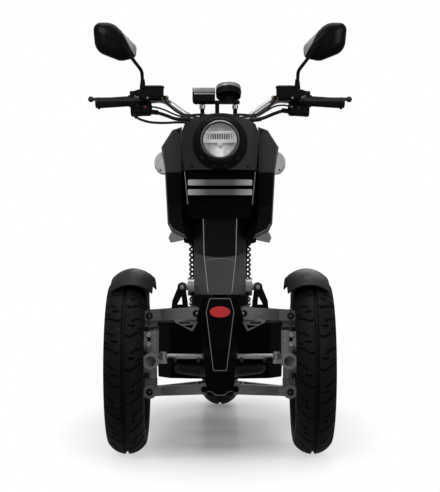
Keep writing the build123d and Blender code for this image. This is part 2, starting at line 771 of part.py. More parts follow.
def on_bar(back):
    """The plane square to the bar's outer run, this far in from its end."""
    return Plane(origin=bar_end + bar_run * back, x_dir=(0, 0, 1), z_dir=bar_run)


with BuildPart() as grips:
    with BuildSketch(on_bar(-6)):
        Circle(13)
    extrude(amount=6 - seat_gap)
    with BuildSketch(on_bar(0)):
        Circle(grip_r)
    extrude(amount=grip_len)
    for flange_at in (0, grip_len - 5):
        with BuildSketch(on_bar(flange_at)):
            Circle(grip_r + 3)
        extrude(amount=5)
    with BuildSketch(on_bar(0)):
        Circle(bar_r + 0.1)
    extrude(amount=grip_len, mode=Mode.SUBTRACT)
    mirror(about=Plane.YZ)
save(grips.part, "grips")

switch_from, switch_len = 96.0, 24.0
pod_len = 54.0
clamp_from, clamp_len = 121.0, 16.0
with BuildPart() as switch_housings:
    with BuildSketch(on_bar(switch_from)):
        with Locations((-2, 8)):
            RectangleRounded(62, 46, 14)
    extrude(amount=switch_len)
    # the pod with the switches, under the brake's clamp
    with BuildSketch(on_bar(switch_from)):
        with Locations((-31.5, 4)):
            RectangleRounded(25, 42, 9)
    extrude(amount=pod_len)
    with BuildSketch(on_bar(switch_from)):
        Circle(bar_r + 0.1)
    extrude(amount=switch_len, mode=Mode.SUBTRACT)
    mirror(about=Plane.YZ)
save(switch_housings.part, "switch_housings")

cylinder_y, cylinder_z = 315.0, 968.0
cylinder_r = 9.0
cylinder_x = (166.0, 222.0)
banjo_len = 14.0
mirror_foot = (222.0, 348.0)
reservoir = (57.0, 32.0, 24.0)
reservoir_x = 187.0
lever_pin = (231.0, 320.0)
lever_t = 9.0
lever_z = 957.0               # underside of the lever
with BuildPart() as brake_masters:
    with BuildSketch(on_bar(clamp_from)):
        Circle(17)
        with Locations((8, -16)):
            Rectangle(12, 32)
    extrude(amount=clamp_len)
    with BuildSketch(side_view(cylinder_x[0], cylinder_y, cylinder_z)):
        Circle(cylinder_r)
    extrude(amount=cylinder_x[1] - cylinder_x[0])
    with BuildSketch(side_view(cylinder_x[0] - banjo_len, cylinder_y, cylinder_z)):
        Circle(cylinder_r - 3)
    extrude(amount=banjo_len)
    # plate over the lever, with the lever's bolt
    with BuildSketch(Plane.XY.offset(lever_z + lever_t + seat_gap)):
        with Locations((lever_pin[0] - 6, lever_pin[1] - 1)):
            RectangleRounded(30, 26, 6)
    extrude(amount=8)
    with BuildSketch(Plane.XY.offset(lever_z - 4)):
        with Locations(lever_pin):
            Circle(5)
    extrude(amount=lever_t + 8)
    with BuildSketch(Plane.XY.offset(cylinder_z + 4)):
        with Locations((reservoir_x, cylinder_y + 2)):
            RectangleRounded(reservoir[0] - 4, reservoir[1] - 4, 5)
    extrude(amount=reservoir[2])
    with BuildSketch(Plane.XY.offset(cylinder_z + 4 + reservoir[2])):
        with Locations((reservoir_x, cylinder_y + 2)):
            RectangleRounded(reservoir[0], reservoir[1], 6)
    extrude(amount=6)
    chamfer(faces().filter_by(Plane.XY).sort_by(Axis.Z)[-1].edges(), 4)
    with BuildSketch(Plane.XY.offset(bar_bend.Z)):
        with Locations(mirror_foot):
            Circle(8.5)
    extrude(amount=30)
    with BuildSketch(on_bar(clamp_from - 20)):
        Circle(bar_r + 0.1)
    extrude(amount=clamp_len + 40, mode=Mode.SUBTRACT)
    mirror(about=Plane.YZ)
save(brake_masters.part, "brake_masters")

with BuildPart() as brake_levers:
    with BuildSketch(Plane.XY.offset(lever_z)):
        with BuildLine():
            Polyline([(224, 312), (240, 296), (290, 288), (366, 297), (366, 304), (290, 299), (246, 309),
                      (238, 326)], close=True)
        make_face()
        with Locations(lever_pin):
            Circle(8)
    extrude(amount=lever_t)
    with Locations((366, 300, lever_z + lever_t / 2)):
        Sphere(8.5)
    with BuildSketch(Plane.XY.offset(lever_z - 1)):
        with Locations(lever_pin):
            Circle(5 + running_fit)
    extrude(amount=lever_t + 2, mode=Mode.SUBTRACT)
    mirror(about=Plane.YZ)
save(brake_levers.part, "brake_levers")

mirror_top_z = bar_bend.Z + 30 + seat_gap
stem_points = [(mirror_foot[0], mirror_foot[1], mirror_top_z), (224, 348, 1048), (284, 354, 1126)]
with BuildPart() as mirror_stems:
    add(tube(stem_points, [30], 5.0))
    with BuildSketch(Plane.XY.offset(mirror_top_z)) as boot_low:
        with Locations(mirror_foot):
            Circle(9)
    with BuildSketch(Plane.XY.offset(mirror_top_z + 26)):
        with Locations(mirror_foot):
            Circle(6)
    loft()
    with BuildSketch(front_view(354, 284, 1126)):
        Circle(8)
    extrude(amount=-8)
    mirror(about=Plane.YZ)
save(mirror_stems.part, "mirror_stems")

mirror_back_y = 376.0
mirror_depth = 22.0
mirror_outline = [
    # X, Z and corner radius
    (369, 1194, 22), (309, 1194, 48), (241, 1126, 24), (243, 1091, 17), (288, 1081, 38), (361, 1110, 44),
]


def mirror_face(plane):
    """The mirror's rounded outline on this plane."""
    with BuildSketch(plane) as face:
        with BuildLine():
            Polyline([(x, z) for x, z, corner in mirror_outline], close=True)
        make_face()
        for x, z, corner in mirror_outline:
            fillet(vertices().sort_by_distance((x, z, 0))[0], corner)
    return face.sketch


with BuildPart() as mirror_shells:
    extrude(mirror_face(front_view(mirror_back_y - mirror_depth + 8)), amount=-mirror_depth)
    fillet(faces().sort_by(Axis.Y)[0].edges(), 12)
    mirror(about=Plane.YZ)
save(mirror_shells.part, "mirror_shells")

glass_t = 2.0
with BuildPart() as mirror_glass:
    with BuildSketch(front_view(mirror_back_y + 8 + seat_gap)):
        add(offset(mirror_face(front_view(0)), amount=-5))
    extrude(amount=-glass_t)
    mirror(about=Plane.YZ)
save(mirror_glass.part, "mirror_glass")

gauge_r = 35.0
gauge_t = 28.0
gauge_plane = Plane(origin=(24, 298, 994), x_dir=(1, 0, 0), z_dir=(0, 0.35, 0.937))
display = (64.0, 40.0, 44.0)
display_x = -46.0
leg_top_z = 948.0
with BuildPart() as instruments:
    with BuildSketch(Plane.XY.offset(leg_top_z + seat_gap)):
        with Locations((display_x, 302)):
            RectangleRounded(display[0], display[1], 6)
    extrude(amount=display[2])
    fillet(edges().filter_by(Axis.Y).sort_by(Axis.Z)[:2], 9)
    with BuildSketch(gauge_plane):
        Circle(gauge_r)
    extrude(amount=-gauge_t)
    # the plate that carries both, on the clamp's legs
    with BuildSketch(Plane.XY.offset(leg_top_z + seat_gap)):
        with Locations((2, 300)):
            RectangleRounded(108, 22, 6)
    extrude(amount=9)
    with BuildSketch(Plane.XY.offset(leg_top_z + seat_gap)):
        with Locations((24, 298)):
            Circle(14)
    extrude(amount=24)
    add(steering_stem.part, mode=Mode.SUBTRACT)
save(instruments.part, "instruments")

# hoses and wires from the bar's controls to the guide on the stem
cable_routes = [
    # radius, points (X, Y, Z) from the guide outwards
    (3.5, [(-32, 232, 846), (-42, 233, 872), (-68, 236, 887), (-110, 240, 891), (-156, 250, 889), (-196, 264, 892),
           (-228, 294, 904), (-246, 326, 918), (-249, 352, 938)]),
    (5.0, [(-22, 232, 846), (-26, 233, 872), (-48, 238, 893), (-84, 246, 899), (-124, 265, 901), (-150, 290, 914),
           (-180, 318, 926), (-210, 352, 934)]),
    (2.5, [(-13, 232, 846), (-14, 234, 876), (-34, 240, 901), (-72, 251, 907), (-108, 262, 908), (-132, 284, 918),
           (-160, 308, 934), (-190, 332, 944), (-212, 346, 942)]),
    (3.5, [(-5, 232, 846), (-5, 236, 880), (-20, 247, 908), (-54, 262, 915), (-92, 272, 912), (-122, 288, 924),
           (-144, 302, 944), (-158, 314, 966)]),
    (3.5, [(5, 232, 846), (5, 236, 880), (20, 247, 908), (54, 262, 915), (92, 272, 912), (122, 288, 924),
           (144, 302, 944), (158, 314, 966)]),
    (2.5, [(13, 232, 846), (14, 234, 876), (34, 240, 901), (70, 251, 907), (104, 262, 908), (130, 286, 926),
           (156, 308, 944), (186, 332, 949), (212, 344, 942)]),
    (5.0, [(22, 232, 846), (26, 233, 872), (48, 238, 892), (84, 246, 896), (120, 262, 903), (148, 292, 918),
           (180, 320, 932), (210, 352, 934)]),
]


def bend_radii(points):
    """The largest arc that each corner of a route has room for."""
    radii = []
    for before, here, after in zip(points, points[1:], points[2:]):
        run_in, run_out = Vector(*here) - Vector(*before), Vector(*after) - Vector(*here)
        turn = radians(run_in.get_angle(run_out))
        radii.append(0.45 * min(run_in.length, run_out.length) / tan(turn / 2))
    return radii


cables = []
for cable_r, route in cable_routes:
    radii = bend_radii(route)
    print("cable bends", [round(radius) for radius in radii])
    cables.append(tube(route, radii, cable_r) - switch_housings.part - brake_masters.part)
save(Compound(children=cables), "control_cables")

# ---------------------------------------------------------------- nose
panel_t = 4.0
nose_front_y = 95.0
nose_back_y = 200.0
nose_round = 190.0            # radius of the nose panel's face, seen from above
lamp_z = 821.0
lamp_ring_r = 74.0
nose_side = [(-97, 749), (-103, 800), (-103, 856), (-96, 874)]
nose_top_z = 901.0


def nose_solid(shrink, back):
    """The nose's outline, drawn in by this much and cut by its rounded face."""
    with BuildPart() as solid:
        with BuildSketch(front_view(back)):
            with BuildLine():
                left = Polyline(nose_side)
                right = Polyline([(-x, z) for x, z in nose_side])
                ThreePointArc(left @ 1, (0, nose_top_z), right @ 1)
                Line(left @ 0, right @ 0)
            make_face()
            if shrink:
                offset(amount=-shrink, mode=Mode.REPLACE)
        extrude(amount=back - nose_front_y + 10)
        with BuildSketch(Plane.XY.offset(740)):
            with Locations((0, nose_front_y + shrink + nose_round)):
                Circle(nose_round)
        extrude(amount=180, mode=Mode.INTERSECT)
    return solid.part


with BuildPart() as nose_panel:
    add(nose_solid(0, nose_back_y))
    add(nose_solid(panel_t, nose_back_y + 2), mode=Mode.SUBTRACT)
    with BuildSketch(front_view(nose_back_y, 0, lamp_z)):
        Circle(lamp_ring_r + seat_gap)
    extrude(amount=nose_back_y - nose_front_y + 20, mode=Mode.SUBTRACT)
save(nose_panel.part, "nose_panel")

lens_z = 828.0
lens_r = 48.5
bezel_r = 52.5
lens_t = 3.5
bowl_depth = 44.0             # of the reflector behind the lens
lamp_front_y = 84.0
lamp_side_y = 96.0
with BuildPart() as headlamp:
    with BuildSketch(front_view(lamp_back_y, 0, lamp_z)):
        Circle(lamp_ring_r)
    extrude(amount=lamp_back_y - lamp_side_y)
    with BuildSketch(front_view(lamp_side_y, 0, lamp_z)):
        Circle(lamp_ring_r)
    with BuildSketch(front_view(lamp_front_y, 0, lens_z - 1)):
        Circle(bezel_r + 6)
    loft()
    with BuildSketch(front_view(lamp_front_y + 14, 0, lens_z)):
        Circle(bezel_r)
    extrude(amount=20, mode=Mode.SUBTRACT)
    with BuildSketch(side_view(0, lamp_front_y + 14, lens_z)):
        with BuildLine():
            bowl = ThreePointArc((-1, lens_r - 3), (bowl_depth * 0.62, lens_r * 0.68), (bowl_depth, 12))
            Polyline(bowl @ 1, (bowl_depth, 0), (-1, 0), bowl @ 0)
        make_face()
    revolve(axis=Axis((0, 0, lens_z), (0, 1, 0)), mode=Mode.SUBTRACT)
save(headlamp.part, "headlamp_housing")

with BuildPart() as headlamp_ring:
    with BuildSketch(side_view(0, 0, lens_z)):
        with BuildLine():
            Polyline([(lamp_front_y + 14, lens_r), (lamp_front_y + 14, bezel_r - 0.1), (lamp_front_y - 2, bezel_r - 0.1),
                      (lamp_front_y - 5, bezel_r - 3), (lamp_front_y - 3, lens_r)], close=True)
        make_face()
    revolve(axis=Axis((0, 0, lens_z), (0, 1, 0)))
save(headlamp_ring.part, "headlamp_ring")

lens_dome_r = 148.0
with BuildPart() as headlamp_lens:
    with BuildSketch(front_view(lamp_front_y + 14, 0, lens_z)):
        Circle(lens_r - 0.1)
    extrude(amount=40)
    with Locations((0, lamp_front_y - 9 + lens_dome_r, lens_z)):
        Sphere(lens_dome_r, mode=Mode.INTERSECT)
        Sphere(lens_dome_r - lens_t, mode=Mode.SUBTRACT)
save(headlamp_lens.part, "headlamp_lens")

recess_top_z = 748.7
recess_low_z = 616.3
bar_zs = (714.0, 688.0)
bar_half = 86.5
bar_h = 15.6
with BuildPart() as grille:
    with BuildSketch(front_view(grille_y + grille_t)):
        with BuildLine():
            Polyline([(-97, recess_top_z), (97, recess_top_z), (88, 652), (80, recess_low_z), (-80, recess_low_z),
                      (-88, 652)], close=True)
        make_face()
        with Locations((0, lamp_z)):
            Circle(lamp_ring_r + seat_gap, mode=Mode.SUBTRACT)
    extrude(amount=grille_t)
    with BuildSketch(front_view(grille_y)):
        with BuildLine():
            Polyline([(97, recess_top_z), (94.5, recess_top_z), (86.5, 654), (88, 650)], close=True)
        make_face()
    extrude(amount=20)
    with BuildSketch(front_view(grille_y)):
        for z in bar_zs:
            with Locations((60, z)):
                Rectangle(10, 10)
    extrude(amount=10)
    mirror(about=Plane.YZ)
save(grille.part, "grille_recess")

with BuildPart() as grille_bars:
    for z in bar_zs:
        with BuildSketch(front_view(grille_y - 10, 0, z)):
            RectangleRounded(2 * bar_half, bar_h, 3)
        extrude(amount=10)
save(grille_bars.part, "grille_bars")


def channel(sections, wall):
    """An open-backed cover lofted through level sections: (height, half width of its face,
    half width at its edges, Y of its face, Y of its edges)."""
    def body(inset):
        with BuildPart() as solid:
            for z, face, edge, face_y, edge_y in sections:
                with BuildSketch(Plane.XY.offset(z)):
                    with BuildLine():
                        back = edge_y + 3 * inset
                        Polyline([(-edge + inset, back), (-face + inset / 2, face_y + inset),
                                  (face - inset / 2, face_y + inset), (edge - inset, back)], close=True)
                    make_face()
            loft(ruled=True)
        return solid.part
    return body(0) - body(wall)


neck_t = 4.0
neck_sections = [(416, 31.5, 66, -58, -30), (440, 34, 67, -37, -27.5), (470, 37, 68, -11, -2),
                 (516, 41.5, 70, 28, 110), (616, 49, 72, 104, 230)]
with BuildPart() as neck_cover:
    add(channel(neck_sections, neck_t))
save(neck_cover.part, "neck_cover")

beak_t = 4.0
beak_sections = [(160, 14, 34, -112, -72), (207, 18, 37.5, -125, -72), (280, 27, 45, -128, -72),
                 (362, 35, 60, -112, -66), (410, 27, 42, -92, -62)]
with BuildPart() as beak:
    add(channel(beak_sections, beak_t))
    for z, half, face_y in ((168, 16, -113.5), (364, 30, -110)):
        with BuildSketch(Plane.XY.offset(z)):
            with BuildLine():
                Polyline([(-half * 0.8, face_y + 3), (half * 0.8, face_y + 3), (half, -lug_half - seat_gap),
                          (-half, -lug_half - seat_gap)], close=True)
            make_face()
        extrude(amount=6)
save(beak.part, "beak")

# a plain badge plate on the beak's face
badge_z = 372.0
with BuildPart() as badge:
    with BuildSketch(Plane(origin=(0, -107.6, badge_z), x_dir=(1, 0, 0), z_dir=(0, -0.923, 0.385))):
        Ellipse(26, 15)
    extrude(amount=3.4)
    add(beak.part, mode=Mode.SUBTRACT)
save(badge.part, "badge")

# ---------------------------------------------------------------- side wings and leg shield
wing_sections = [
    # Y, outline (X, Z) from the top inner corner down the outside
    (150, [(wing_in_x, 868), (129, 859), (156, 817), (148, 757), (140, 610), (130, 590), (wing_in_x - 12, 570),
           (wing_in_x, 640)]),
    (235, [(wing_in_x, 877), (133, 868), (164, 820), (154, 757), (146, 606), (135, 584), (wing_in_x - 14, 563),
           (wing_in_x, 640)]),
    (415, [(wing_in_x, 800), (120, 792), (140, 770), (134, 735), (118, 650), (112, 622), (wing_in_x - 6, 600),
           (wing_in_x, 640)]),
]
with BuildPart() as side_wings:
    for wing_y, outline in wing_sections:
        with BuildSketch(front_view(wing_y)):
            with BuildLine():
                Polyline(outline, close=True)
            make_face()
    loft(ruled=True)
    mirror(about=Plane.YZ)
save(side_wings.part, "side_wings")

wing_back_y = 415.0
shield_t = 8.0
floor_top_z = 336.0
floor_t = 14.0
with BuildPart() as leg_shield:
    with BuildSketch(front_view(wing_back_y + seat_gap + shield_t)):
        with BuildLine():
            Polyline([(-105, 850), (105, 850), (116, 792), (112, 640), (105, 557), (78, 550), (74, 480), (60, floor_top_z + seat_gap),
                      (-60, floor_top_z + seat_gap), (-74, 480), (-78, 550), (-105, 557), (-112, 640), (-116, 792)],
                     close=True)
        make_face()
    extrude(amount=shield_t)
save(leg_shield.part, "leg_shield")

with BuildPart() as shield_fins:
    with BuildSketch(front_view(wing_back_y + seat_gap + shield_t)):
        with BuildLine():
            Polyline([(142.6, 586), (149.6, 570), (143, 556), (105.9, 564), (108.2, 586)], close=True)
        make_face()
    extrude(amount=30)
    mirror(about=Plane.YZ)
save(shield_fins.part, "shield_fins")

with BuildPart() as front_indicators:
    with BuildSketch(front_view(268)):
        with Locations((158, 776)):
            Ellipse(25, 31)
    extrude(amount=36)
    add(side_wings.part, mode=Mode.SUBTRACT)
    with BuildSketch(front_view(300)):
        with Locations((wing_in_x, 776)):
            Rectangle(80, 100)
    extrude(amount=100, mode=Mode.SUBTRACT)
    mirror(about=Plane.YZ)
save(front_indicators.part, "front_indicators")

# ---------------------------------------------------------------- floor and battery
floor_front_y = 437.0
floor_back_y = 858.0
floor_half = 190.0
floor_plan = [(70, floor_front_y), (150, 455), (floor_half, 520), (floor_half, 790), (150, 850), (90, floor_back_y)]
belly_taper = 6.0            # how far the belly's sides draw in towards its bottom
shield_front_y = 424.0
belly_low_z = 158.0
belly_t = 4.0
rail_clearance = 2.0


def floor_sketch(height, shrink):
    """The floor's outline at this height, drawn in towards its middle by this much."""
    middle = (floor_front_y + floor_back_y) / 2
    across = 1 - shrink / floor_half
    lengthwise = 1 - 2 * shrink / (floor_back_y - floor_front_y)
    left = [(x * across, middle + (y - middle) * lengthwise) for x, y in floor_plan]
    with BuildSketch(Plane.XY.offset(height)) as outline:
        with BuildLine():
            Polyline(left + [(-x, y) for x, y in reversed(left)], close=True)
        make_face()
    return outline.sketch


with BuildPart() as floorboard:
    extrude(floor_sketch(floor_top_z - floor_t, 0), amount=floor_t)
    with BuildSketch(Plane.XY.offset(floor_top_z - floor_t)):
        with Locations((0, (shield_front_y + floor_front_y) / 2)):
            Rectangle(130, floor_front_y - shield_front_y)
    extrude(amount=floor_t)
    with BuildSketch(Plane.XY.offset(floor_top_z - floor_t)):
        with Locations((-74, 855), (74, 855)):
            Rectangle(50, 80)
    extrude(amount=floor_t, mode=Mode.SUBTRACT)
save(floorboard.part, "floorboard")

belly_top_z = floor_top_z - floor_t - seat_gap
rail_passages = [
    # straight stretches of the left rail that go through the belly pan or the tail
    rod((rail_path[3][0], 425, rail_z), (rail_path[3][0], 500, rail_z), rail_r + rail_clearance),
    rod(rail_path[3], rail_path[4], rail_r + rail_clearance),
    rod(rail_path[5], rail_path[6], rail_r + rail_clearance),
]
with BuildPart() as belly_pan:
    loft([floor_sketch(belly_top_z, 0), floor_sketch(belly_low_z, belly_taper)], ruled=True)
    loft([floor_sketch(belly_top_z + 1, belly_t), floor_sketch(belly_low_z + belly_t, belly_taper + belly_t)],
         ruled=True, mode=Mode.SUBTRACT)
    for passage in rail_passages:
        add(passage, mode=Mode.SUBTRACT)
        add(mirror(passage, about=Plane.YZ), mode=Mode.SUBTRACT)
save(belly_pan.part, "belly_pan")

battery = (196.0, 280.0, 148.0)
with BuildPart() as battery_box:
    with BuildSketch(Plane.XY.offset(belly_low_z + belly_t + seat_gap)):
        with Locations((0, 625)):
            Rectangle(battery[0], battery[1])
    extrude(amount=battery[2])
save(battery_box.part, "battery_box")

# ---------------------------------------------------------------- tail, seat and rack
tail_t = 5.0
tail_rib_foot_z = seat_z - 88
hinge = (798.0, seat_z - 7)
tail_sections = [
    # Y, half width at the bottom, half width at the top, height of the bottom
    (812, 84, 106, seat_z - 105), (880, 96, 114, seat_z - 147), (1120, 96, 122, seat_z - 155),
    (1462, 100, 112, seat_z - 81),
]


def tail_solid(inset):
    """The tail's shape, drawn in by this much at the sides, bottom and ends, with its top open."""
    with BuildPart() as solid:
        for index, (y, low, high, low_z) in enumerate(tail_sections):
            end = inset if index == 0 else -inset if index == len(tail_sections) - 1 else 0
            with BuildSketch(front_view(y + end)):
                with BuildLine():
                    top = seat_z - seat_gap + (1 if inset else 0)
                    Polyline([(-high + inset, top), (-low + inset, low_z + inset), (low - inset, low_z + inset),
                              (high - inset, top)], close=True)
                make_face()
        loft(ruled=True)
    return solid.part


with BuildPart() as tail_body:
    add(tail_solid(0))
    add(tail_solid(tail_t), mode=Mode.SUBTRACT)
    add(rail_passages[-1], mode=Mode.SUBTRACT)
    add(mirror(rail_passages[-1], about=Plane.YZ), mode=Mode.SUBTRACT)
    for side in (-1, 1):
        with BuildSketch(side_view(side * shock_x - 22)):
            with Locations((shock_top[0], 600)):
                Rectangle(64, 90)
        extrude(amount=42, mode=Mode.SUBTRACT)
    # ribs that rest under the frame's rear cross tube
    for rib_x in (-64, 52):
        with BuildSketch(side_view(rib_x)):
            with Locations((tail_cross_y, (seat_rail_z + tail_rib_foot_z) / 2)):
                Rectangle(26, seat_rail_z - tail_rib_foot_z)
            with Locations((tail_cross_y, seat_rail_z)):
                Circle(seat_rail_r + seat_gap, mode=Mode.SUBTRACT)
        extrude(amount=12)
    # hinge pin at the seat's front edge
    with BuildSketch(side_view(-44)):
        with BuildLine():
            Polyline([(hinge[0], hinge[1] - 6), (hinge[0], hinge[1] + 6), (hinge[0] + 16, hinge[1] + 6),
                      (hinge[0] + 16, hinge[1] - 13), (hinge[0] + 4, hinge[1] - 11)], close=True)
        make_face()
        with Locations(hinge):
            Circle(6)
    extrude(amount=88)
    with BuildSketch(side_view(-30)):
        with BuildLine():
            Polyline([(hinge[0] - 13, hinge[1] - 18), (hinge[0] - 13, hinge[1] + 12), (hinge[0] + 13.5, hinge[1] + 12),
                      (hinge[0] + 13.5, hinge[1] - 18)], close=True)
        make_face()
    extrude(amount=60, mode=Mode.SUBTRACT)
    with BuildSketch(side_view(-44, *hinge)):
        Circle(4)
    extrude(amount=88)
save(tail_body.part, "tail_body")

seat_profile = [(796, seat_z), (1496, seat_z), (1512, seat_z + 31), (1486, seat_z + 91),
                (1300, seat_z + 91), (1190, seat_z + 63), (880, seat_z + 55), (806, seat_z + 37)]
with BuildPart() as seat:
    with BuildSketch(side_view(-150)):
        with BuildLine():
            Polyline(seat_profile, close=True)
        make_face()
        fillet(vertices().filter_by(lambda v: v.Z > seat_z + 5), 12)
    extrude(amount=300)
    with BuildSketch(Plane.XY.offset(seat_z - 5)):
        with BuildLine():
            Polyline([(-92, 790), (92, 790), (140, 1040), (138, 1380), (94, 1514), (-94, 1514), (-138, 1380),
                      (-140, 1040)], close=True)
        make_face()
        fillet(vertices(), 30)
    extrude(amount=120, mode=Mode.INTERSECT)
    for ear_x in (-28, 18):
        with BuildSketch(side_view(ear_x)):
            with BuildLine():
                Polyline([(790, 738), (790, seat_z + 2), (808, seat_z + 2), (808, 738)], close=True)
            make_face()
            with Locations(hinge):
                Circle(8)
                Circle(4 + running_fit, mode=Mode.SUBTRACT)
        extrude(amount=10)
save(seat.part, "seat")

rack_r = 10.0
rack_side = [(104, 1150, 700), (164, 1240, 736), (164, 1478, 750), (92, tail_y - rack_r, 762)]
rack_points = rack_side + [(-x, y, z) for x, y, z in reversed(rack_side)]
with BuildPart() as grab_rail:
    add(tube(rack_points, [40, 60, 60, 60, 60, 40], rack_r))
    add(tail_solid(0), mode=Mode.SUBTRACT)
save(grab_rail.part, "grab_rail")

with BuildPart() as tail_lamp:
    with BuildSketch(front_view(1462 + seat_gap)):
        with Locations((0, 712)):
            RectangleRounded(150, 40, 12)
    extrude(amount=-22)
save(tail_lamp.part, "tail_lamp")

with BuildPart() as rear_indicators:
    with BuildSketch(side_view(90)):
        with Locations((1430, 705)):
            Circle(8)
    extrude(amount=52)
    add(tail_solid(0), mode=Mode.SUBTRACT)
    with BuildSketch(front_view(1452, 152, 705)):
        RectangleRounded(42, 36, 10)
    extrude(amount=44)
    mirror(about=Plane.YZ)
save(rear_indicators.part, "rear_indicators")

# ---------------------------------------------------------------- rear fork, shocks and mudguard
arm_y_in, arm_w = 70.0, 16.0
with BuildPart() as swingarm:
    for arm_x in (-arm_y_in - arm_w, arm_y_in):
        with BuildSketch(side_view(arm_x)):
            with BuildLine():
                Polyline([swing_pivot, (swing_pivot[0], swing_pivot[1] + 24), (1180, 268), (1300, 258), (1318, 236.5),
                          (1300, 216), (1180, 222), (swing_pivot[0], swing_pivot[1] - 24)], close=True)
            make_face()
            with Locations(swing_pivot):
                Circle(24)
            with BuildLine():
                Polyline([(1216, 240), (1222, shock_low[1]), (1242, shock_low[1]), (1256, 240)], close=True)
            make_face()
        extrude(amount=arm_w)
    with BuildSketch(side_view(-arm_y_in, *swing_pivot)):
        Circle(20)
    extrude(amount=2 * arm_y_in)
    with BuildSketch(side_view(-arm_y_in, 985, 247)):
        Circle(18)
    extrude(amount=2 * arm_y_in)
    with BuildSketch(side_view(-110, *swing_pivot)):
        Circle(swing_pin_r + running_fit)
    extrude(amount=220, mode=Mode.SUBTRACT)
    for side in (-1, 1):
        with BuildSketch(side_view(side * shock_x - 12, *shock_low)):
            Circle(16)
        extrude(amount=24, mode=Mode.SUBTRACT)
        with BuildSketch(side_view(side * arm_y_in, *shock_low)):
            Circle(shock_pin_r)
        extrude(amount=side * (shock_x + shock_eye_half + 4 - arm_y_in))
    with BuildSketch(side_view(-112, rear_axle[1], rear_axle[2])):
        Circle(rear_axle_r)
    extrude(amount=224)
    for nut_x in (-arm_y_in - arm_w - 10, arm_y_in + arm_w):
        with BuildSketch(side_view(nut_x, rear_axle[1], rear_axle[2])):
            RegularPolygon(16, 6)
        extrude(amount=10)
save(swingarm.part, "swingarm")

shock_run = Vector(0, shock_top[0] - shock_low[0], shock_top[1] - shock_low[1])
with BuildPart() as rear_shocks:
    shock_plane = Plane(origin=(shock_x, *shock_low), x_dir=(1, 0, 0), z_dir=shock_run)
    for radius, start, end in ((7, 0, shock_run.length), (14, 18, 120), (shock_spring_r, 60, 290),
                               (12, 280, shock_run.length)):
        with BuildSketch(shock_plane.offset(start)):
            Circle(radius)
        extrude(amount=end - start)
    for point in (shock_low, shock_top):
        with BuildSketch(side_view(shock_x - shock_eye_half, *point)):
            Circle(12)
        extrude(amount=2 * shock_eye_half)
        with BuildSketch(side_view(shock_x - 30, *point)):
            Circle(shock_pin_r + running_fit)
        extrude(amount=60, mode=Mode.SUBTRACT)
    mirror(about=Plane.YZ)
save(rear_shocks.part, "rear_shocks")

hugger_r = 258.0
hugger_from, hugger_to = 35.0, 150.0
with BuildPart() as rear_mudguard:
    with BuildSketch(round_axle(rear_axle, hugger_from)):
        with BuildLine():
            top = ThreePointArc((-66, hugger_r - 20), (0, hugger_r), (66, hugger_r - 20))
            under = ThreePointArc((-66, hugger_r - 20 - guard_t), (0, hugger_r - guard_t), (66, hugger_r - 20 - guard_t))
            Line(top @ 0, under @ 0)
            Line(top @ 1, under @ 1)
        make_face()
    revolve(axis=Axis(rear_axle, (1, 0, 0)), revolution_arc=hugger_to - hugger_from)
    for stay in (-arm_y_in + 0.1, arm_y_in - 3.5):
        with BuildSketch(side_view(stay)):
            with BuildLine():
                Polyline([(1100, 236), (1124, 236), (1150, 430), (1118, 408)], close=True)
            make_face()
        extrude(amount=3.4)
    with BuildSketch(side_view(-arm_y_in + 0.1)):
        with Locations((1136, 422)):
            Circle(12)
    extrude(amount=2 * arm_y_in - 0.2)
    with BuildSketch(side_view(-60, *rear_axle[1:])):
        Circle(rear_tyre_r + 6)
    extrude(amount=120, mode=Mode.SUBTRACT)
save(rear_mudguard.part, "rear_mudguard")

plate_bar = (180.0, 36.0, 4.0)
plate_z = 440.0
plate_hole_x = 70.0
plate_hole_r = 3.3
with BuildPart() as plate_holder:
    with BuildSketch(side_view(-22)):
        with BuildLine():
            Polyline([(1462 + seat_gap, 690), (1462 + seat_gap, 666), (1530, 500), (1530, plate_z - 18),
                      (1540, plate_z - 18), (1540, 502), (1480, 660), (1478, 690)], close=True)
        make_face()
    extrude(amount=44)
    # crossbar for a plate, with its two bolt holes
    with BuildSketch(front_view(1540 + plate_bar[2])):
        with Locations((0, plate_z)):
            RectangleRounded(plate_bar[0], plate_bar[1], 8)
        with Locations((-plate_hole_x, plate_z), (plate_hole_x, plate_z)):
            Circle(plate_hole_r, mode=Mode.SUBTRACT)
    extrude(amount=plate_bar[2])
save(plate_holder.part, "plate_holder")

with BuildPart() as footpegs:
    with BuildSketch(side_view(pivot_plate_x + 8 + seat_gap, 888, 282)):
        Circle(10)
    extrude(amount=66)
    mirror(about=Plane.YZ)
save(footpegs.part, "footpegs")
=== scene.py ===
"""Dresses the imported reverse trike: materials, tread, lamp, saddle, small trim, camera and light.

Places and sizes are in mm from the ground below the front axle: X to the trike's left, Y to its rear, Z up.
part() turns a place into the frame's metres. Small things that lie on a panel are placed by a pixel of the
440 x 492 picture, and seen() finds the solid that they lie on.
"""
import json
from functools import lru_cache
from math import atan2, cos, pi, radians, sin, sqrt, tan

import bmesh
import bpy
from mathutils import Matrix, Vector
from mathutils.bvhtree import BVHTree


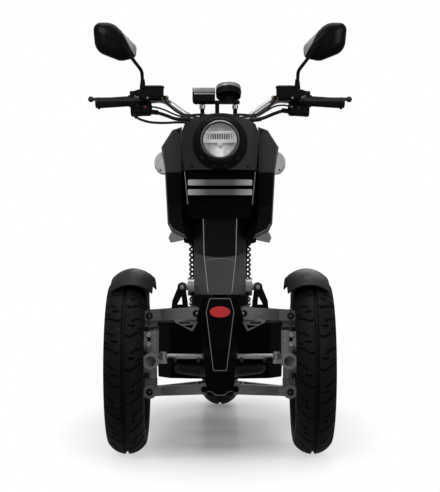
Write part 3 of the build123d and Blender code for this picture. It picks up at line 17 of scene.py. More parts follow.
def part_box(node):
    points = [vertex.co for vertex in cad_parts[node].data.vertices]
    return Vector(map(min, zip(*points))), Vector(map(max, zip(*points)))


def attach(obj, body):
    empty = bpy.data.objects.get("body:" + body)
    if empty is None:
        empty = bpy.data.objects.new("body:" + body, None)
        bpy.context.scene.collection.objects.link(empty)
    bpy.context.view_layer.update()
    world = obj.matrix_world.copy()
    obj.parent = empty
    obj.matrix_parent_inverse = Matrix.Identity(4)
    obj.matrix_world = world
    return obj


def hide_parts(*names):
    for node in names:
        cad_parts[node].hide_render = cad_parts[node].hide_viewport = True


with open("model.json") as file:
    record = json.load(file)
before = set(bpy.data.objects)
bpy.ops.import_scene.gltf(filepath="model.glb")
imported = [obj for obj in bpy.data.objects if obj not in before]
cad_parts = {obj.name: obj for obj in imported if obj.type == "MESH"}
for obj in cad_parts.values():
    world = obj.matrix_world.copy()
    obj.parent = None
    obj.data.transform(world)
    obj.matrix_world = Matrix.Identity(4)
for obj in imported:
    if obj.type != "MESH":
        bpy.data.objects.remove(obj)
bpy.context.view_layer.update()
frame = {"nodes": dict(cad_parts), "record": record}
nodes = frame["nodes"]
scene = bpy.context.scene

MID_Y = 661.75                          # the frame's origin lies this far behind the front axle
TRACK_HALF, FRONT_R, FRONT_WIDE = 240, 232.5, 98
REAR_Y, REAR_R, REAR_WIDE = 1285, 236.5, 120
TIE_PIN, RELAY_PIN, TIE_Z = (146, -60), (38, -55), 250
FOCAL, MIDDLE_X, HORIZON_Y, PICTURE_TALL = 1412.0, 219.7, 262.0, 492    # the picture's geometry, in pixels
AHEAD, LEFT, UP = Vector((0, -1, 0)), Vector((1, 0, 0)), Vector((0, 0, 1))
SIDES = ((-1, "_right"), (1, "_left"))


def part(x, y, z):
    """A place in mm from the ground below the front axle, in the frame's metres."""
    return Vector((x / 1000, (y - MID_Y) / 1000, z / 1000))


CAMERA_AT = part(0, -3700, 500)


# ---------------- shader nodes
def node_maker(name):
    """A new material, its node tree and its shader."""
    material = bpy.data.materials.new(name)
    material.use_nodes = True
    return material, material.node_tree, material.node_tree.nodes["Principled BSDF"]


def set_inputs(node, inputs):
    """Sets a node's inputs, by name or number, to plain values or links them to other nodes' outputs."""
    for key, value in inputs.items():
        socket = node.inputs[key]
        if isinstance(value, bpy.types.NodeSocket):
            node.id_data.links.new(value, socket)
        else:
            socket.default_value = (*value, 1) if socket.type == "RGBA" else value


def add(tree, kind, inputs=None, **settings):
    """A new node with its settings and inputs."""
    node = tree.nodes.new("ShaderNode" + kind)
    for key, value in settings.items():
        setattr(node, key, value)
    set_inputs(node, inputs or {})
    return node


def object_coords(tree, scale=(1, 1, 1)):
    coords = add(tree, "TexCoord").outputs["Object"]
    return add(tree, "Mapping", {"Vector": coords, "Scale": scale}).outputs["Vector"]


def axes_of(tree, vector):
    return add(tree, "SeparateXYZ", {0: vector}).outputs


def noise(tree, vector, scale, detail=3.0, rough=0.55):
    inputs = {"Vector": vector, "Scale": scale, "Detail": detail, "Roughness": rough}
    return add(tree, "TexNoise", inputs).outputs["Fac"]


def waves(tree, vector, direction, pitch):
    """Soft ridges square to an axis, one each pitch."""
    ridge_at_scale_1 = 314
    inputs = {"Vector": vector, "Scale": ridge_at_scale_1 / pitch}
    return add(tree, "TexWave", inputs, bands_direction=direction).outputs["Fac"]


def spread(tree, value, low, high, start=0.3, stop=0.7):
    """Maps start..stop of a value onto low..high."""
    inputs = {"Value": value, "From Min": start, "From Max": stop, "To Min": low, "To Max": high}
    return add(tree, "MapRange", inputs).outputs["Result"]


def calc(tree, operation, *values):
    return add(tree, "Math", dict(enumerate(values)), operation=operation).outputs[0]


def times(tree, a, b):
    return calc(tree, "MULTIPLY", a, b)


def mix_colours(tree, factor, a, b):
    return add(tree, "Mix", {0: factor, 6: a, 7: b}, data_type="RGBA").outputs[2]


def scaled(tree, colour, factor):
    return add(tree, "VectorMath", {0: colour, 3: factor}, operation="SCALE").outputs[0]


def bump(tree, bsdf, heights):
    """Stacks bumps, each of (height, strength, depth in mm)."""
    normal = {}
    for height, strength, depth in heights:
        inputs = {"Height": height, "Strength": strength, "Distance": depth / 1000, **normal}
        normal = {"Normal": add(tree, "Bump", inputs).outputs["Normal"]}
    set_inputs(bsdf, normal)


# ---------------- materials
def grey(level, blue=0.0):
    return level, level, level + blue


def surface(name, colour, rough, metal, specular, mottle, grain, swing=0.06, coat=0.0, coat_rough=0.05,
            alpha=1.0, stretch=(1, 1, 1), dust=None, ribs=None, wear=0.0, bands=(), sideways=None, painted_facet_reflection=None):
    """A layered finish: mottled colour, uneven roughness and fine grain, and more where it is asked for.

    mottle is (scale, amount), grain (scale, strength, depth), dust (scale, amount, colour) and ribs (axis,
    pitch, strength, depth). Each band is (height, colour above it, softness, rise over the square of X in
    metres). The sides' entry is (start, stop, colour): a painted highlight that grows away from the middle
    plane. The facet entry is (x, z, across, up, colour past that line): a painted reflection past that line.
    """
    material, tree, bsdf = node_maker(name)
    plain = object_coords(tree)
    x, _, z = axes_of(tree, plain)
    offset = calc(tree, "ABSOLUTE", x)
    scale, amount = mottle
    tone = colour
    for height, above, soft, rise in bands:
        level = calc(tree, "ADD", z, times(tree, times(tree, x, x), rise))
        edge = spread(tree, level, 0, 1, (height - soft) / 1000, (height + soft) / 1000)
        tone = mix_colours(tree, edge, tone, above)
    # painted highlight: the colour grows lighter away from the middle plane
    if sideways:
        start, stop, outer = sideways
        tone = mix_colours(tree, spread(tree, offset, 0, 1, start / 1000, stop / 1000), tone, outer)
    # painted reflection: a lighter colour past a line across the surface
    if painted_facet_reflection:
        line_x, line_z, across, up, facet_reflection_colour = painted_facet_reflection
        past = calc(tree, "ADD", times(tree, calc(tree, "SUBTRACT", offset, line_x / 1000), across),
                    times(tree, calc(tree, "SUBTRACT", z, line_z / 1000), up))
        tone = mix_colours(tree, spread(tree, past, 0, 1, 0.0, 0.0012), tone, facet_reflection_colour)
    base = scaled(tree, tone, spread(tree, noise(tree, plain, scale, 4.0), 1 - amount, 1 + amount))
    if dust:
        dust_scale, dust_amount, dust_colour = dust
        patches = noise(tree, plain, dust_scale, 6.0, 0.7)
        base = mix_colours(tree, spread(tree, patches, 0, dust_amount, 0.5, 0.8), base, dust_colour)
    if wear:
        scuffs = noise(tree, object_coords(tree, (1, 1, 4)), 60, 6.0, 0.8)
        edge = spread(tree, add(tree, "NewGeometry").outputs["Pointiness"], 0, 1, 0.52, 0.60)
        worn = times(tree, edge, spread(tree, scuffs, 0, wear, 0.45, 0.7))
        base = mix_colours(tree, worn, base, tuple(min(1.0, c * 3 + 0.05) for c in colour))
    uneven = noise(tree, plain, scale * 5, 5.0)
    low, high = max(0.02, rough - swing), min(1.0, rough + swing)
    set_inputs(bsdf, {"Base Color": base, "Roughness": spread(tree, uneven, low, high), "Metallic": metal,
                      "Specular IOR Level": specular, "Coat Weight": coat, "Coat Roughness": coat_rough,
                      "Alpha": alpha})
    heights = [(noise(tree, object_coords(tree, stretch), grain[0], 3.0), *grain[1:])]
    if ribs:
        heights.append((waves(tree, plain, *ribs[:2]), *ribs[2:]))
    bump(tree, bsdf, heights)
    return material


def leather(name, colour, grain_scale=420.0):
    """Vinyl seat cover: pebbled grain with creases painted darker as shade, a little shine on the high spots.
    """
    material, tree, bsdf = node_maker(name)
    plain = object_coords(tree)
    shake = add(tree, "TexNoise", {"Vector": plain, "Scale": grain_scale / 3}).outputs["Color"]
    warped = add(tree, "VectorMath", {0: plain, 1: scaled(tree, shake, 0.004)}, operation="ADD").outputs[0]
    cells = add(tree, "TexVoronoi", {"Vector": warped, "Scale": grain_scale}, feature="DISTANCE_TO_EDGE")
    pebble = spread(tree, cells.outputs["Distance"], 0, 1, 0.0, 0.25)
    # the third colour, darker, is painted shade in the grain's creases
    dark, pale, painted_crease_shade = (tuple(c * share for c in colour) for share in (0.8, 1.25, 0.55))
    base = mix_colours(tree, spread(tree, noise(tree, plain, 9, 5.0), 0, 1), dark, pale)
    set_inputs(bsdf, {"Base Color": mix_colours(tree, pebble, painted_crease_shade, base),
                      "Roughness": spread(tree, noise(tree, plain, 40, 4.0), 0.42, 0.58),
                      "Sheen Weight": 0.03, "Specular IOR Level": 0.3})
    bump(tree, bsdf, [(pebble, 0.35, 0.6), (noise(tree, plain, 22, 3.0), 0.25, 2.0)])
    return material


LAMP_Y, LAMP_Z, LAMP_R = 97.0, 828.0, 45.2      # the headlamp reflector's face and radius


def reflector_painted_light(name):
    """Painted reflection of the chrome in a bright tone, and painted shade: dark slot bottoms, flutes above,
    greyer lower sides.
    """
    material, tree, bsdf = node_maker(name)
    plain = object_coords(tree)
    x, y, z = axes_of(tree, plain)
    in_slots = times(tree, spread(tree, z, 0, 1, 0.8305, 0.8315), spread(tree, z, 1, 0, 0.844, 0.8455))
    deep = spread(tree, y, 0, 1, part(0, LAMP_Y + 6, 0).y, part(0, LAMP_Y + 8.5, 0).y)
    lower = times(tree, spread(tree, z, 1, 0, 0.8195, 0.8215),
                 spread(tree, calc(tree, "ABSOLUTE", x), 0, 1, 0.006, 0.03))
    upper = times(tree, spread(tree, z, 0, 1, 0.8525, 0.8545),
                 spread(tree, waves(tree, plain, "X", 5.2), 0.35, 1.0, 0.2, 0.8))
    # painted shade: the lower field greyer at its sides, grey flutes above and dark slot bottoms
    shade = mix_colours(tree, lower, grey(0.86, 0.01), grey(0.34, 0.01))
    shade = mix_colours(tree, upper, shade, grey(0.36, 0.01))
    shade = mix_colours(tree, times(tree, in_slots, deep), shade, grey(0.015, 0.001))
    blotch = noise(tree, plain, 60, 3.0)
    set_inputs(bsdf, {"Base Color": scaled(tree, shade, spread(tree, blotch, 0.95, 1.05)),
                      "Roughness": spread(tree, blotch, 0.36, 0.44), "Metallic": 0.15})
    bump(tree, bsdf, [(noise(tree, plain, 300, 2.0), 0.04, 0.1)])
    return material


# name: colour, roughness, metal, specular, mottle (scale, amount), grain (scale, strength, depth), the rest
LOOKS = {
    "tyre_rubber": (grey(0.0045, 0.0002), 0.6, 0, 0.1, (14, 0.2), (1400, 0.25, 0.4),
                    dict(swing=0.1, dust=(24, 0.2, (0.018, 0.0175, 0.0165)))),
    "wheel_black": (grey(0.006, 0.0005), 0.36, 0, 0.2, (8, 0.15), (700, 0.08, 0.3), dict(wear=0.3)),
    "arm_grey": ((0.155, 0.156, 0.16), 0.5, 0.2, 0.3, (14, 0.06), (900, 0.08, 0.2),
                 dict(wear=0.25, swing=0.05)),
    "frame_black": (grey(0.0022, 0.0002), 0.5, 0, 0.05, (10, 0.18), (800, 0.12, 0.3), dict(wear=0.02)),
    "bright_steel": (grey(0.36), 0.32, 1, 0.5, (12, 0.06), (300, 0.08, 0.2),
                     dict(stretch=(0.05, 1, 1), swing=0.08)),
    "gloss_grey": (grey(0.0145, 0.0005), 0.42, 0, 0.18, (5, 0.08), (2600, 0.05, 0.1),
                   dict(coat=0.05, coat_rough=0.12, swing=0.04)),
    "gloss_black": (grey(0.0022, 0.0002), 0.34, 0, 0.09, (5, 0.1), (2600, 0.04, 0.1),
                    dict(coat=0.03, coat_rough=0.08, swing=0.04)),
    "satin_black": (grey(0.003, 0.0002), 0.5, 0, 0.09, (9, 0.15), (1500, 0.28, 0.3), {}),
    "deep_black": (grey(0.0012, 0.0001), 0.55, 0, 0.03, (9, 0.15), (1500, 0.2, 0.3), {}),
    "grip_rubber": (grey(0.006, 0.0003), 0.68, 0, 0.12, (25, 0.2), (1800, 0.35, 0.4), {}),
    "cable_rubber": (grey(0.0035, 0.0002), 0.45, 0, 0.15, (30, 0.2), (1500, 0.2, 0.2), {}),
    "lever_alloy": (grey(0.016, 0.001), 0.36, 0.4, 0.4, (20, 0.15), (900, 0.1, 0.2), dict(wear=0.6)),
    "mirror_glass": ((0.78, 0.8, 0.82), 0.03, 1, 0.5, (3, 0.02), (40, 0.01, 0.1), dict(swing=0.01)),
    "chrome": (grey(0.72, 0.01), 0.12, 1, 0.5, (6, 0.03), (200, 0.03, 0.1), dict(swing=0.03)),
    "lamp_ring": (grey(0.2, 0.005), 0.34, 0.85, 0.5, (30, 0.05), (400, 0.04, 0.1), dict(swing=0.03)),
    "lamp_glass": ((0.85, 0.86, 0.88), 0.05, 0, 0.5, (80, 0.03), (300, 0.03, 0.2),
                   dict(alpha=0.035, swing=0.02)),
    "side_lens": ((0.92, 0.93, 0.95), 0.1, 0, 0.5, (80, 0.03), (300, 0.03, 0.2),
                  dict(alpha=0.86, swing=0.02)),
    "badge_red": ((0.42, 0.006, 0.01), 0.3, 0, 0.3, (40, 0.1), (600, 0.05, 0.2), dict(coat=0.6)),
    "light_grey": ((0.19, 0.192, 0.2), 0.46, 0, 0.35, (12, 0.1), (1200, 0.2, 0.3), {}),
    "fin_grey": ((0.36, 0.362, 0.37), 0.5, 0, 0.3, (12, 0.08), (1200, 0.2, 0.3), {}),
    "floor_rubber": (grey(0.012, 0.0005), 0.62, 0, 0.3, (12, 0.2), (1200, 0.3, 0.4),
                     dict(dust=(12, 0.25, (0.04, 0.038, 0.036)))),
    "red_lens": ((0.36, 0.005, 0.007), 0.2, 0, 0.4, (60, 0.08), (300, 0.03, 0.1),
                 dict(coat=0.5, ribs=("X", 6, 0.35, 0.8))),
    "amber_lens": ((0.62, 0.17, 0.008), 0.2, 0, 0.4, (60, 0.08), (300, 0.03, 0.1),
                   dict(coat=0.5, ribs=("Z", 5, 0.35, 0.8))),
    "footpeg_alloy": (grey(0.4, 0.01), 0.4, 0.9, 0.5, (20, 0.1), (700, 0.2, 0.4),
                      dict(ribs=("X", 6, 0.7, 1.5))),
    "stop_red": ((0.17, 0.012, 0.018), 0.35, 0, 0.5, (60, 0.1), (600, 0.1, 0.2), {}),
    "bright_bolt": (grey(0.6), 0.35, 0.6, 0.5, (60, 0.1), (600, 0.1, 0.2), {}),
    "banjo_brass": ((0.42, 0.33, 0.17), 0.32, 0.9, 0.5, (60, 0.15), (900, 0.1, 0.2), {}),
    "dial_face": (grey(0.01, 0.001), 0.4, 0, 0.5, (60, 0.1), (2400, 0.1, 0.1), {}),
    "dial_white": (grey(0.75, -0.03), 0.5, 0, 0.5, (90, 0.04), (2400, 0.08, 0.1), {}),
    "hood_silver": (grey(0.34, 0.01), 0.4, 0.5, 0.5, (30, 0.08), (900, 0.15, 0.4), {}),
    "gauge_silver": (grey(0.3, 0.01), 0.35, 0.6, 0.5, (40, 0.08), (900, 0.15, 0.4), {}),
    "guard_paint": (grey(0.0115, 0.0005), 0.5, 0, 0.09, (8, 0.12), (1600, 0.1, 0.2), {}),
    # painted reflection: the wings are grey above Z 745 and near black from 655 to 745, as the studio's
    # horizon reflects in the gloss
    "wing_painted_reflection": (grey(0.0035, 0.0002), 0.42, 0, 0.07, (6, 0.1), (2200, 0.08, 0.1),
                   dict(bands=((655, grey(0.0008, 0.0001), 1.2, 0.0), (745, grey(0.042, 0.001), 1.2, 0.0)))),
    # painted light and shade: below Z 512 the facet that faces up is painted lighter, the steeper facets above
    # nearly black
    "neck_painted_facet_light": (grey(0.048, 0.001), 0.5, 0, 0.035, (7, 0.1), (1800, 0.1, 0.2),
                   dict(bands=((512, grey(0.0025, 0.0002), 2, -3.0), (606, grey(0.0022, 0.0002), 2, 0.0)))),
    # the grille bars are painted lighter towards their ends, a painted highlight
    "bar_silver_painted_highlight": (grey(0.105, 0.002), 0.38, 0.5, 0.5, (30, 0.05), (500, 0.06, 0.1),
                   dict(stretch=(0.02, 1, 1), sideways=(34, 86, grey(0.5, 0.005)))),
    "knuckle_cast": ((0.24, 0.241, 0.246), 0.5, 0.2, 0.3, (16, 0.08), (700, 0.12, 0.3),
                     dict(wear=0.3, bands=((322, grey(0.004, 0.0002), 1, 0.0),))),
}
finish = {name: surface(name, *columns, **rest) for name, (*columns, rest) in LOOKS.items()}
finish["seat_cover"] = leather("seat_cover", (0.0085, 0.0083, 0.0083))
finish["lamp_reflector"] = reflector_painted_light("lamp_reflector")

# nodes whose look isn't that of their slot
OWN_LOOK = {"mudguard_left": "guard_paint", "mudguard_right": "guard_paint", "side_wings": "wing_painted_reflection",
            "neck_cover": "neck_painted_facet_light", "grille_bars": "bar_silver_painted_highlight", "knuckle_left": "knuckle_cast",
            "knuckle_right": "knuckle_cast", "uprights": "arm_grey", "headlamp_lens": "lamp_glass",
            "front_indicators": "side_lens", "headlamp_ring": "lamp_ring", "shield_fins": "fin_grey",
            "belly_pan": "deep_black", "beak": "deep_black", "grille_recess": "deep_black"}
for subpart in frame["record"]["subparts"]:
    node = nodes[subpart["node"]]
    look = finish[OWN_LOOK.get(subpart["node"], subpart["material_slot"])]
    if not node.material_slots:
        node.data.materials.append(look)
    for material_slot in node.material_slots:
        material_slot.material = look


# ---------------- shapes: lists of vertices and faces
def circle(count):
    return [2 * pi * step / count for step in range(count)]


def skin(rings, loop=False, capped=True):
    """A skin over rings of points, each closed in itself; loop joins the last ring to the first."""
    total, count = len(rings), len(rings[0])
    faces = []
    for index in range(total if loop else total - 1):
        a, b = index * count, (index + 1) % total * count
        for step in range(count):
            nxt = (step + 1) % count
            faces.append((a + step, b + step, b + nxt, a + nxt))
    if capped and not loop:
        faces.append(range(count))
        faces.append(range(total * count - 1, (total - 1) * count - 1, -1))
    return [point for ring in rings for point in ring], faces


def frame_of(axis):
    """An axis and two directions square to it."""
    axis = axis.normalized()
    side = axis.cross(UP)
    if side.length < 0.2:
        side = axis.cross(-AHEAD)
    side.normalize()
    return axis, side, axis.cross(side).normalized()


def turned(profile, centre, axis, count=48, closed=False):
    """A profile of (along, radius) turned about an axis; a closed one makes a ring."""
    axis, side, up = frame_of(axis)
    ways = [side * cos(turn) + up * sin(turn) for turn in circle(count)]
    rings = []
    for along, radius in profile:
        middle = centre + axis * (along / 1000)
        rings.append([middle + way * (radius / 1000) for way in ways])
    return skin(rings, loop=closed)


def ribbed(first, pitch, count, rib):
    """A profile that repeats a rib's (along, radius) points."""
    return [(first + pitch * index + along, radius) for index in range(count) for along, radius in rib]


def bolt(centre, axis, radius, height):
    """A cap screw's head that stands on a face, with a round socket."""
    profile = [(-1, radius), (height * 0.82, radius), (height, radius * 0.88), (height, radius * 0.52),
               (height * 0.45, radius * 0.5), (height * 0.42, 0.2)]
    return turned(profile, centre, axis, 24)


def washer(centre, axis, radius, wide, proud):
    """A flat ring with rounded edges."""
    profile = [(0, radius), (proud * 0.7, radius), (proud, radius - wide * 0.2),
               (proud, radius - wide * 0.8), (proud * 0.7, radius - wide), (0, radius - wide)]
    return turned(profile, centre, axis, 40, closed=True)


def tube_shape(points, radius, count=10):
    """A round strip along points; radius is one number or one for each point."""
    rings, side = [], None
    for index, point in enumerate(points):
        along = (points[min(index + 1, len(points) - 1)] - points[max(index - 1, 0)]).normalized()
        if side is None:
            along, side, up = frame_of(along)
        else:
            side = (side - along * side.dot(along)).normalized()
            up = along.cross(side)
        size = (radius[index] if isinstance(radius, list) else radius) / 1000
        rings.append([point + side * (cos(turn) * size) + up * (sin(turn) * size) for turn in circle(count)])
    return skin(rings)


def slab(centre, size, bevel):
    """A block with rounded edges."""
    work = bmesh.new()
    bmesh.ops.create_cube(work, size=1)
    bmesh.ops.scale(work, vec=[side / 1000 for side in size], verts=work.verts)
    bmesh.ops.bevel(work, geom=list(work.edges), offset=bevel / 1000, segments=3, profile=0.5,
                    affect="EDGES")
    bmesh.ops.translate(work, vec=centre, verts=work.verts)
    work.verts.index_update()
    verts = [vert.co.copy() for vert in work.verts]
    faces = [[vert.index for vert in face.verts] for face in work.faces]
    work.free()
    return verts, faces


def rounded_outline(corners, steps=10):
    """Points round a polygon whose corners (x, z, radius) are rounded by arcs."""
    points = []
    for index, (x, z, radius) in enumerate(corners):
        here = Vector((x, z))
        back = (Vector(corners[index - 1][:2]) - here).normalized()
        ahead = (Vector(corners[(index + 1) % len(corners)][:2]) - here).normalized()
        half = back.angle(ahead) / 2
        middle = here + (back + ahead).normalized() * (radius / sin(half))
        start, stop = (here + way * (radius / tan(half)) - middle for way in (back, ahead))
        turn = start.angle_signed(stop)
        first = atan2(start.y, start.x)
        for step in range(steps + 1):
            angle = first - turn * step / steps
            points.append(middle + Vector((cos(angle), sin(angle))) * radius)
    return points


def puffed(outline, start, stop, rounding):
    """A closed body with an outline in the XZ plane, from one Y to another, its edges rounded."""
    middle = sum(outline, Vector((0, 0))) / len(outline)
    turns = [radians(turn) for turn in (0, 22, 45, 68, 90)]
    rows = [(start + rounding * (1 - cos(turn)), rounding * (1 - sin(turn))) for turn in turns]
    rows += [(stop - rounding * (1 - cos(turn)), rounding * (1 - sin(turn))) for turn in reversed(turns)]
    rings = []
    for y, inset in rows:
        spots = [point + (middle - point).normalized() * inset for point in outline]
        rings.append([part(spot.x, y, spot.y) for spot in spots])
    return skin(rings)


def both(shape):
    """A shape and its mirror image across the middle plane."""
    verts, faces = shape
    return [shape, ([Vector((-x, y, z)) for x, y, z in verts], faces)]


def many(shapes):
    """Every shape and its mirror image."""
    return [half for shape in shapes for half in both(shape)]


def dress(name, shapes, body, slot, look=None, angle=35.0, replaces=()):
    """One piece from shapes, smooth where faces meet under an angle, with its finish and the body it rides."""
    verts, faces = [], []
    for some_verts, some_faces in shapes:
        base = len(verts)
        verts.extend(some_verts)
        faces.extend([[base + index for index in face] for face in some_faces])
    mesh = bpy.data.meshes.new(name)
    mesh.from_pydata([tuple(vert) for vert in verts], [], faces)
    mesh.validate()
    work = bmesh.new()
    work.from_mesh(mesh)
    bmesh.ops.recalc_face_normals(work, faces=work.faces)
    for edge in work.edges:
        edge.smooth = len(edge.link_faces) == 2 and edge.calc_face_angle(0) < radians(angle)
    for face in work.faces:
        face.smooth = True
    work.to_mesh(mesh)
    work.free()
    mesh.materials.append(finish[look or slot])
    piece = bpy.data.objects.new(name, mesh)
    scene.collection.objects.link(piece)
    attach(piece, body)
    if replaces:
        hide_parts(*replaces)
    return piece


# ---------------- places by the picture
@lru_cache(None)
def tree_of(name):
    """A node's mesh, ready for rays."""
    mesh = nodes[name].data
    points, faces = [vert.co for vert in mesh.vertices], [face.vertices for face in mesh.polygons]
    return BVHTree.FromPolygons(points, faces)


def seen(px, py, *names):
    """Where the line of sight through a pixel first meets the nodes, and the way it faces, or None."""
    ray = Vector(((px - MIDDLE_X) / FOCAL, 1, (HORIZON_Y - py) / FOCAL)).normalized()
    hits = [tree_of(name).ray_cast(CAMERA_AT, ray) for name in names]
    hits = [(far, hit, facing) for hit, facing, _, far in hits if hit is not None]
    if not hits:
        return None
    _, hit, facing = min(hits, key=lambda found: found[0])
    return hit, facing if facing.y < 0 else -facing


def along_photo(points, radius, *names):
    """A thin strip that lies on the nodes along a line of the picture."""
    found = []
    for (ax, ay), (bx, by) in zip(points, points[1:]):
        steps = max(2, int(sqrt((bx - ax) ** 2 + (by - ay) ** 2) / 1.5))
        shares = [step / steps for step in range(steps)]
        found += [seen(ax + (bx - ax) * share, ay + (by - ay) * share, *names) for share in shares]
    found.append(seen(*points[-1], *names))
    return tube_shape([spot[0] for spot in found if spot], radius, 8)


# ---------------- tyres
BEAD_SEAT, BEAD_TOP = 152.0, 161.3
GROOVE_HALF, GROOVE_DEEP, SIPE_DEEP = 5.4, 6.5, 5.6
PITCH, SHOULDER_AT = 86.0, 52.0          # one turn of the pattern along the tyre, and 1.0 across it
# sipes of one side: points (across, from 0 to 1 at the shoulder; along, in pitches), and half the width
SIPES = (
    ([(0.19, 0.02), (0.28, -0.02), (0.45, 0.02), (0.68, 0.13), (0.93, 0.22)], 3.0),
    ([(0.30, 0.36), (0.40, 0.33), (0.54, 0.37)], 2.8),
    ([(0.46, 0.52), (0.62, 0.60), (0.95, 0.72)], 2.7),
    ([(0.74, 0.30), (0.95, 0.37)], 2.4),
)


def arc(a, b, c, count):
    """Points along the circle through three points of a section."""
    (ax, ay), (bx, by), (cx, cy) = a, b, c
    d = 2 * (ax * (by - cy) + bx * (cy - ay) + cx * (ay - by))
    aa, bb, cc = ax ** 2 + ay ** 2, bx ** 2 + by ** 2, cx ** 2 + cy ** 2
    ux = (aa * (by - cy) + bb * (cy - ay) + cc * (ay - by)) / d
    uy = (aa * (cx - bx) + bb * (ax - cx) + cc * (bx - ax)) / d
    radius = sqrt((ax - ux) ** 2 + (ay - uy) ** 2)
    start, mid, stop = (atan2(y - uy, x - ux) for x, y in (a, b, c))
    mid = start + (mid - start + pi) % (2 * pi) - pi
    stop = mid + (stop - mid + pi) % (2 * pi) - pi
    angles = [start + (stop - start) * index / count for index in range(count + 1)]
    return [(ux + radius * cos(angle), uy + radius * sin(angle)) for angle in angles]


def ease(value, edge, soft):
    """1 well under an edge, falling to 0 at it over a soft width."""
    return max(0.0, min(1.0, (edge - value) / soft))


def sipe_depth(across, phase):
    """How deep the sipes are here; the two sides of the tread are half a pitch apart."""
    a = abs(across)
    if a < 0.12:
        return 0.0
    turn = (phase + (0.5 if across > 0 else 0.0)) % 1.0
    deepest = 0.0
    for line, half_wide in SIPES:
        for shift in (-1.0, 0.0, 1.0):
            for (ax, at), (bx, bt) in zip(line, line[1:]):
                px, py = (a - ax) * SHOULDER_AT, (turn + shift - at) * PITCH
                qx, qy = (bx - ax) * SHOULDER_AT, (bt - at) * PITCH
                along = max(0.0, min(1.0, (px * qx + py * qy) / (qx * qx + qy * qy)))
                gap = sqrt((px - qx * along) ** 2 + (py - qy * along) ** 2)
                deepest = max(deepest, SIPE_DEEP * ease(gap, half_wide, 1.1))
    return deepest


def dress_tyre(node, body, centre, radius, width, seat_width, pitches=17):
    """The tyre with its tread: a groove round the crown, hooked sipes beside it, rings on the sidewalls."""
    half, bead_x = width / 2, seat_width / 2 - 0.3
    shoulder = radius - 0.55 * half
    wall = BEAD_TOP + 0.45 * (shoulder - BEAD_TOP)
    wall_rings = [BEAD_TOP + share * (shoulder - BEAD_TOP) for share in (0.2, 0.34, 0.86)]
    crown = arc((1 - half, shoulder), (0, radius), (half - 1, shoulder), 64)
    right = arc((half - 1, shoulder), (half - 0.5, wall), (bead_x, BEAD_TOP), 14)[1:]
    left = arc((-bead_x, BEAD_TOP), (0.5 - half, wall), (1 - half, shoulder), 14)[:-1]
    section = left + crown + right + [(bead_x, BEAD_SEAT), (-bead_x, BEAD_SEAT)]
    steps = pitches * 48
    rings = []
    for step, turn in enumerate(circle(steps)):
        phase = -pitches * step / steps
        out = Vector((0, cos(turn), sin(turn)))
        ring = []
        for across, r in section:
            depth = 0.0
            if r > shoulder - 1 and abs(across) < half:
                groove = GROOVE_DEEP * ease(abs(across), GROOVE_HALF, 1.4)
                depth = max(groove, sipe_depth(across / half, phase))
            elif r > BEAD_TOP:
                depth = 0.9 * max(ease(abs(r - ring_r), 1.5, 0.8) for ring_r in wall_rings)
            ring.append(centre + Vector((across / 1000, 0, 0)) + out * ((r - depth) / 1000))
        rings.append(ring)
    dress(node + "_tread", [skin(rings, loop=True)], body, "tyre_rubber", angle=32, replaces=[node])


dress_tyre("tyre_left", "wheel_left", part(TRACK_HALF, 0, FRONT_R), FRONT_R, FRONT_WIDE, 66)
dress_tyre("tyre_right", "wheel_right", part(-TRACK_HALF, 0, FRONT_R), FRONT_R, FRONT_WIDE, 66)
dress_tyre("tyre_rear", "wheel_rear", part(0, REAR_Y, REAR_R), REAR_R, REAR_WIDE, 84)


# ---------------- suspension, knuckles and wheels
def pivot_head(px, py, node):
    """The ring, cap and pin of a kingpin's pivot, each for the right and the left."""
    spot = seen(px, py, node)[0]
    cap = turned([(-1, 6.8), (0.5, 6.8), (0.8, 6.2)], spot, AHEAD, 24)
    pin = turned([(0, 2.2), (1.1, 2.2), (1.3, 1.4)], spot, AHEAD, 16)
    return both(washer(spot, AHEAD, 9.6, 2.6, 0.5)), both(cap), both(pin)


def dress_calipers():
    """The black bracket on each caliper and the two bright bolts through it."""
    for side, suffix in SIDES:
        spot = seen(MIDDLE_X + side * (MIDDLE_X - 148.4), 339.3, "knuckle" + suffix)[0]
        dress("caliper_bracket" + suffix, [slab(spot, (10, 3, 30), 1.2)], "knuckle%s_body" % suffix,
              "satin_black", "deep_black")
    for py in (334.7, 343.9):
        for side, suffix in SIDES:
            spot = seen(MIDDLE_X + side * (MIDDLE_X - 148.4), py, "knuckle" + suffix)[0]
            dress("caliper_bolt%s_%d" % (suffix, py), [bolt(spot + AHEAD / 1000, AHEAD, 6.2, 5)],
                  "knuckle%s_body" % suffix, "bright_steel", "bright_bolt")


def dress_pivots():
    """Heads and washers of the arms' pivots and the towers' bolts."""
    bolts, washers = [], []
    # px, py, washer's radius, bolt's height
    for px, py, radius, high in ((181.7, 287.0, 9.0, 3.2), (205.4, 357.4, 4.6, 3.5),
                                 (196.8, 313.4, 5.5, 3.0), (206.4, 391.0, 5.5, 3.0)):
        spot = seen(px, py, "damper_towers", "upper_arms", "lower_arms", "front_frame", "relay_lever",
                    "tilt_damper", "main_frame")[0]
        bolts += both(bolt(spot, AHEAD, radius * 0.62, high))
        washers += both(washer(spot, AHEAD, radius, 2.2, 1.6))
    # the lower outer pivots are on the uprights, and the upper ones turn with the knuckles
    rings, caps, pins = pivot_head(149.3, 392.0, "uprights")
    looks = ("bright_steel", "lever_alloy"), ("satin_black", None), ("bright_steel", None)
    for (_, suffix), *head in zip(SIDES, *pivot_head(149.0, 316.0, "knuckle_right")):
        for name, shape, (slot, look) in zip(("ring", "cap", "pin"), head, looks):
            dress("kingpin_" + name + suffix, [shape], "knuckle%s_body" % suffix, slot, look)
    dress("pivot_bolts", bolts + pins, "frame", "bright_steel")
    dress("pivot_washers", washers + rings, "frame", "bright_steel", "lever_alloy")
    dress("pivot_caps", caps, "frame", "satin_black")


